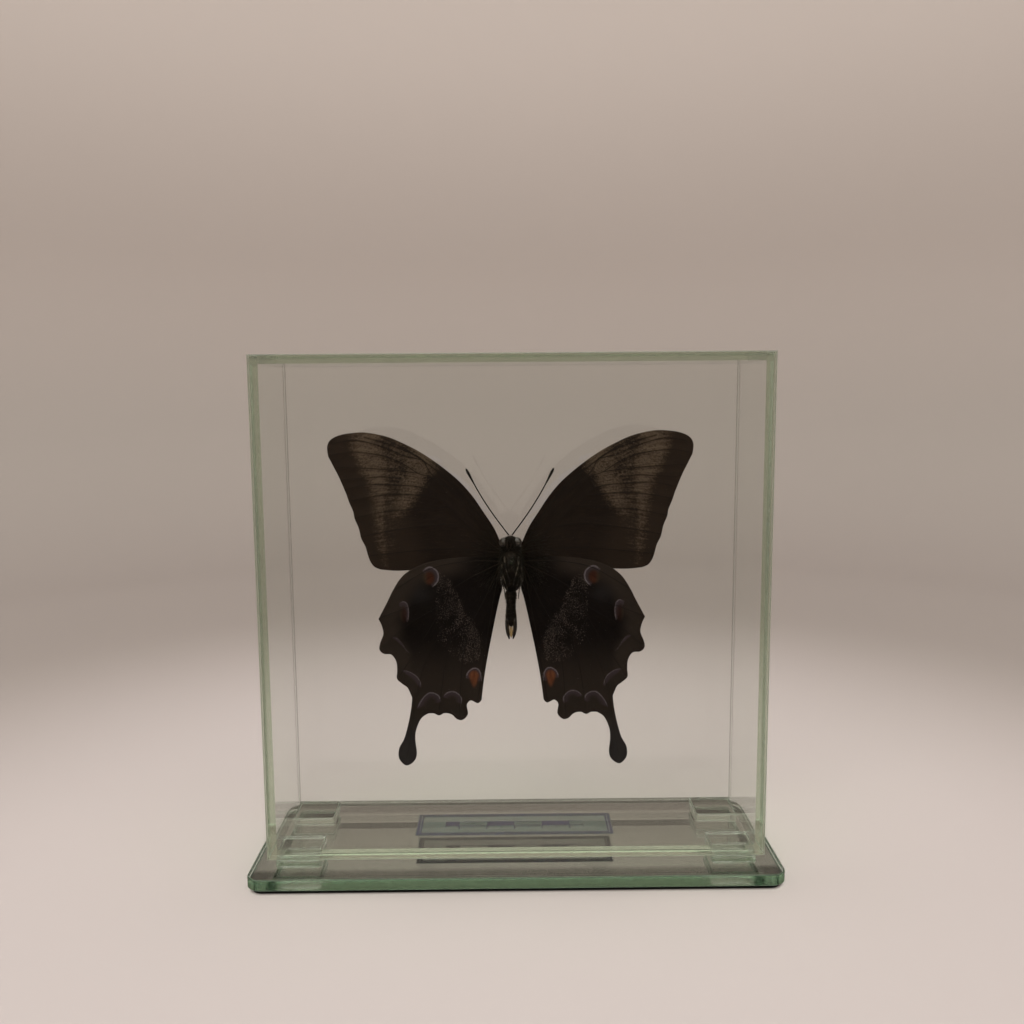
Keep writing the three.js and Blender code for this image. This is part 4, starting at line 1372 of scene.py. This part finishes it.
def make_hairs(wing_roots):
    """Hairs on the chest and its collar, the abdomen, the head and the roots of the wings."""
    coat = fur_tree(hair_coat("body_hairs", tone(13, 11, 9), tone(52, 45, 35)))

    def grow(part, form):
        carrier = build(f"{part}_hairs_carrier", form, [])
        keep(grown(f"{part}_hairs", carrier, coat, HAIRS[part]), "body")

    def grow_on_body(part, form, fur, sideways):
        form.marks = {"fur": fur, "lie": lie_of(form.points, sideways)}
        grow(part, specimen(form, y=BODY_Y))

    thorax = turned(THORAX_PROFILE, 40, 40, flattening=BODY_FLATTENING)
    outer = 0.3 + 0.7 * ease(np.abs(thorax.points[:, 0]), 1.2, 3.0)
    fur = outer * (1 - 0.85 * ease(-thorax.points[:, 2], 8.5, 10.5))
    grow_on_body("chest", thorax, fur, 0.55)

    collar = collar_form()
    grow_on_body("collar", collar, np.ones(len(collar.points)), 0.9)

    abdomen = turned(ABDOMEN_PROFILE, 30, 30, flattening=BODY_FLATTENING).moved((ABDOMEN_X, 0, 0))
    fur = 0.3 + 0.7 * ease(abdomen.points[:, 2], -17.0, -12.5)
    grow_on_body("abdomen", abdomen, fur, 0.12)

    half_width = HEAD["half_width"] * 0.8       # between the eyes
    head = ball((HEAD_X, 0, HEAD["h"]), (half_width, HEAD["half_depth"], HEAD["half_height"]))
    grow_on_body("head", head, np.ones(len(head.points)), 0.2)
    grow("root", wing_roots)


def root_part(form):
    """The part of a wing near the body, with the way its hairs lie."""
    near = [face for face in form.faces if max(form.marks["fur"][list(face)]) > 0.02]
    kept = sorted({i for face in near for i in face})
    place = {i: n for n, i in enumerate(kept)}
    part = Form(form.points[kept], [[place[i] for i in face] for face in near])
    lie = part.points - np.array((SPECIMEN_X, BODY_Y, SPECIMEN_H + 1.0))
    lie[:, 1] = 0.0
    part.marks = {"fur": form.marks["fur"][kept], "lie": lie / np.linalg.norm(lie, axis=1)[:, None]}
    return part


# ---- Making the case and its base -----------------------------------------------------------------

def make_case():
    """Six panes. Front and back cover the others. Each row says which way a pane faces, which sides reach
    into glued joints, the arrises of its low and high face, and how frosted its edges are."""
    clear = glass("case_glass", CASE_TINT, CASE_ABSORPTION)
    panes = {
        "front": (1, "", (ARRIS, 0.0), 0.4),
        "back": (1, "", (0.0, ARRIS), 0.4),
        "left": (0, "y", (ARRIS, 0.0), 0.2),
        "right": (0, "y", (0.0, ARRIS), 0.2),
        "bottom": (2, "xy", (0.0, 0.0), 0.0),
        "top": (2, "xy", (0.0, 0.0), 0.3),
    }
    for name, (axis, glued, arrises, frosting) in panes.items():
        form = slab(*in_joints(*box_mm(f"pane_{name}"), glued), axis, arrises, frosting=frosting)
        keep(build(f"glass_{name}", form, [clear], rounded=False), "case_glass", f"pane_{name}")


def make_feet():
    """Glass squares, each with a bead of clear adhesive pressed out around its top and bottom."""
    clear = glass("foot_glass", CASE_TINT, CASE_ABSORPTION)
    adhesive = glass("clear_adhesive", smudge=0.03, ior=1.49)
    beads = []
    for end in ("front", "back"):
        for side in ("left", "right"):
            name = f"foot_{end}_{side}"
            low, high = in_joints(*box_mm(name), "z")
            form = slab(low, high, 2, (FOOT_ARRIS, FOOT_ARRIS), FOOT_CORNER, 0.2)
            keep(build(f"{name}_glass", form, [clear], rounded=False), "case_glass", name)
            inset = BEAD_RADIUS + WET
            for level, phase in ((low[2] + inset, 0.0), (high[2] - inset, 2.0)):
                beads.append(bead_around(low, high, level, phase + len(beads)))
    keep(build("foot_beads", joined(beads), [adhesive]), "adhesive")


def bead_around(low, high, level, phase):
    """A bead along a foot's outline, thicker and thinner as it goes."""
    flat = rounded_rectangle(low[:2], high[:2], BEAD_CORNER, 0.0)
    path = smooth([(x, y, level) for x, y in [*flat, flat[0]]], 0.5)
    way = np.linspace(0, 2 * math.pi, len(path))
    radii = BEAD_RADIUS * (0.78 + 0.22 * np.sin(3 * way + phase) * np.sin(2 * way + 1.3 * phase))
    return swept(path, radii, 10, across=(0.0, 0.0, 1.0))


def make_base():
    """The mirror's glass, with rounded corners and a polished edge."""
    low, high = box_mm("mirror_glass")
    form = slab(np.array(low), np.array(high), 2, (PLATE_ARRIS, PLATE_ARRIS), PLATE_CORNER, 0.35)
    clear = glass("plate_glass", PLATE_TINT, PLATE_ABSORPTION)
    keep(build("base_plate_glass", form, [clear], rounded=False), "mirror_glass", "mirror_glass")


def make_drop():
    """The clear drop between the front pane and the chest, wider where it wets the chest."""
    low, high = box_mm("adhesive_drop")
    radius = (high.x - low.x) / 2
    depths = np.linspace(low.y - WET, high.y + TOUCH, 18)
    spread = np.linspace(0, 1, len(depths))
    radii = radius * (0.5 + 0.45 * spread**1.6)
    centre = (low + high) / 2
    form = swept([(centre.x, y, centre.z) for y in depths], radii, 36)
    drop = glass("drop_adhesive", ior=1.47)
    keep(build("chest_drop", form, [drop]), "adhesive", "adhesive_drop")


def finish_cad_nodes():
    """Finishes for the pieces that keep their CAD shape."""
    for name, material in (
        ("mirror_coating", silvering(*box_mm("mirror_coating"))),
        ("backing_sheet", backing_paint()),
        ("label", label_film(*box_mm("label"))),
    ):
        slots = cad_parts[name].data.materials
        slots.clear()
        slots.append(material)


# ---- Studio ---------------------------------------------------------------------------------------

# Painted light and shade on the studio paper, by the way out over the floor and up the wall, in metres: a
# painted pool of light around the case, painted shade further out over the floor, and painted light growing
# again up the cove and the wall.
PAPER_PAINTED_LIGHT = [(0.16, (206, 198, 196)), (0.42, (170, 162, 157)), (0.6, (175, 167, 162)),
         (1.0, (184, 177, 171)), (1.3, (196, 187, 181)), (1.65, (218, 209, 203))]
FLOOR_RADIUS = 0.62
COVE_RADIUS = 0.34
WALL_HEIGHT = 1.5
FLOOR_SIDES = 96


def make_stage():
    """A pale round floor that curves up into a wall."""
    profile = [(FLOOR_RADIUS, 0.0)]
    for turn in np.linspace(0.05, math.pi / 2, 24):
        radius = FLOOR_RADIUS + COVE_RADIUS * math.sin(turn)
        profile.append((radius, COVE_RADIUS * (1 - math.cos(turn))))
    profile.append((FLOOR_RADIUS + COVE_RADIUS, WALL_HEIGHT))
    sides = FLOOR_SIDES
    around = np.arange(sides) / sides * 2 * math.pi
    points = [(0.0, 0.0, 0.0)]
    for radius, height in profile:
        points += [(radius * math.cos(t), radius * math.sin(t), height) for t in around]
    faces = [(0, 1 + i, 1 + (i + 1) % sides) for i in range(sides)]
    for ring in range(len(profile) - 1):
        start = 1 + ring * sides
        for i in range(sides):
            j = (i + 1) % sides
            faces.append((start + i, start + sides + i, start + sides + j, start + j))
    mesh = bpy.data.meshes.new("studio_floor")
    mesh.from_pydata(points, [], faces)
    round_off(mesh)
    mesh.materials.append(studio_paper())
    add_object("studio_floor", mesh)


def studio_paper():
    """Matt paper with painted light and shade by the way out over the floor and up the wall, and a painted
    dim reflection where polished faces mirror it to the front or the back.
    """
    material, g, shader = new_material("studio_paper")
    axes = g.node("ShaderNodeSeparateXYZ", {0: g.place()}).outputs
    away = g.math("SQRT", g.add(g.times(axes["X"], axes["X"]), g.times(axes["Y"], axes["Y"])))
    way = g.add(away, axes["Z"])
    # These tones are painted light and shade, not the paper's own colour.
    paper = tone(*PAPER_PAINTED_LIGHT[0][1])
    for (start, _), (end, shade) in zip(PAPER_PAINTED_LIGHT[:-1], PAPER_PAINTED_LIGHT[1:]):
        paper = g.blend(g.step(way, start, end), paper, tone(*shade))

    # Painted reflection: where polished faces that look out to the front or the back mirror the paper, it is
    # painted dark, to stand for a dim room instead of the bright paper.
    path = g.node("ShaderNodeLightPath").outputs
    once = g.line(path["Glossy Depth"], 1.0, 0.3, 0.1)
    painted_room_reflection = g.times(once, g.step(path["Transmission Depth"], 2.4, 2.6, 1.0, 0.0))
    beyond = g.minus(g.size_of(axes["Y"]), g.size_of(axes["X"]))
    painted_room_reflection = g.times(painted_room_reflection, g.step(beyond, -0.4, -0.15))
    painted_room_reflection = g.times(painted_room_reflection, g.step(axes["Z"], 0.55, 0.8, 1.0, 0.0))
    # tone(26, 25, 24) is the painted reflection of the dim room.
    g.feed_all(shader, {
        "Roughness": 1.0,
        "Specular IOR Level": 0.0,
        "Base Color": g.blend(painted_room_reflection, paper, tone(26, 25, 24)),
    })
    return material


def make_lights():
    """Pale surroundings and three soft round lamps."""
    world = bpy.data.worlds.new("studio")
    world.use_nodes = True
    background = world.node_tree.nodes["Background"].inputs
    background["Color"].default_value = tone(240, 238, 236)
    background["Strength"].default_value = 0.41
    bpy.context.scene.world = world
    target = Vector((0.0, 0.0, 0.09))
    for name, place, size, watts in (
        ("overhead", (0.0, -0.1, 1.25), 1.0, 8.1),
        ("key", (-0.5, -0.58, 0.62), 0.5, 2.1),
        ("fill", (0.62, -0.42, 0.5), 0.5, 0.9),
    ):
        lamp = bpy.data.lights.new(name, "AREA")
        lamp.shape, lamp.size, lamp.energy = "DISK", size, watts
        lamp.color = (1.0, 0.97, 0.93)
        made = add_object(name, lamp)
        made.location = place
        made.rotation_euler = (target - Vector(place)).to_track_quat("-Z", "Y").to_euler()


# The camera's place and lens in millimetres, and its turns in degrees: down, to the right and clockwise.
CAMERA = {"place": (-2.6, -329.2, 165.35), "pitch": 7.009, "yaw": 0.382, "roll": -0.4456, "sensor": 36.0,
          "lens": 33.31}


def make_camera():
    """Camera at standing height in front of the case, a little above its top, looking slightly down."""
    pitch, yaw, roll = (math.radians(CAMERA[turn]) for turn in ("pitch", "yaw", "roll"))
    level = Vector((math.cos(yaw), -math.sin(yaw), 0.0))
    ahead = Vector((math.sin(yaw), math.cos(yaw), 0.0))
    forward = math.cos(pitch) * ahead - math.sin(pitch) * Vector((0.0, 0.0, 1.0))
    upward = level.cross(forward)
    right = math.cos(roll) * level + math.sin(roll) * upward
    up = math.cos(roll) * upward - math.sin(roll) * level
    data = bpy.data.cameras.new("camera")
    data.sensor_width = CAMERA["sensor"]
    data.lens = CAMERA["lens"]
    data.clip_start, data.clip_end = 0.01, 20.0
    camera = add_object("camera", data)
    turned_to = Matrix((right, up, -forward)).transposed().to_4x4()
    camera.matrix_world = Matrix.Translation(Vector(CAMERA["place"]) * MM) @ turned_to
    bpy.context.scene.camera = camera


def set_view():
    """Plain colours, and enough bounces for light that runs a long way inside the glass."""
    scene = bpy.context.scene
    scene.view_settings.view_transform = "Standard"
    bounces = 24
    scene.cycles.max_bounces = bounces
    scene.cycles.transmission_bounces = bounces
    scene.cycles.glossy_bounces = bounces
    scene.cycles.transparent_max_bounces = bounces


make_camera()
set_view()
make_stage()
make_lights()
make_base()
make_feet()
make_case()
make_drop()
finish_cad_nodes()
wing_roots = make_wings()
make_body()
make_head()
make_tongue()
make_legs()
make_antennae()
make_hairs(wing_roots)
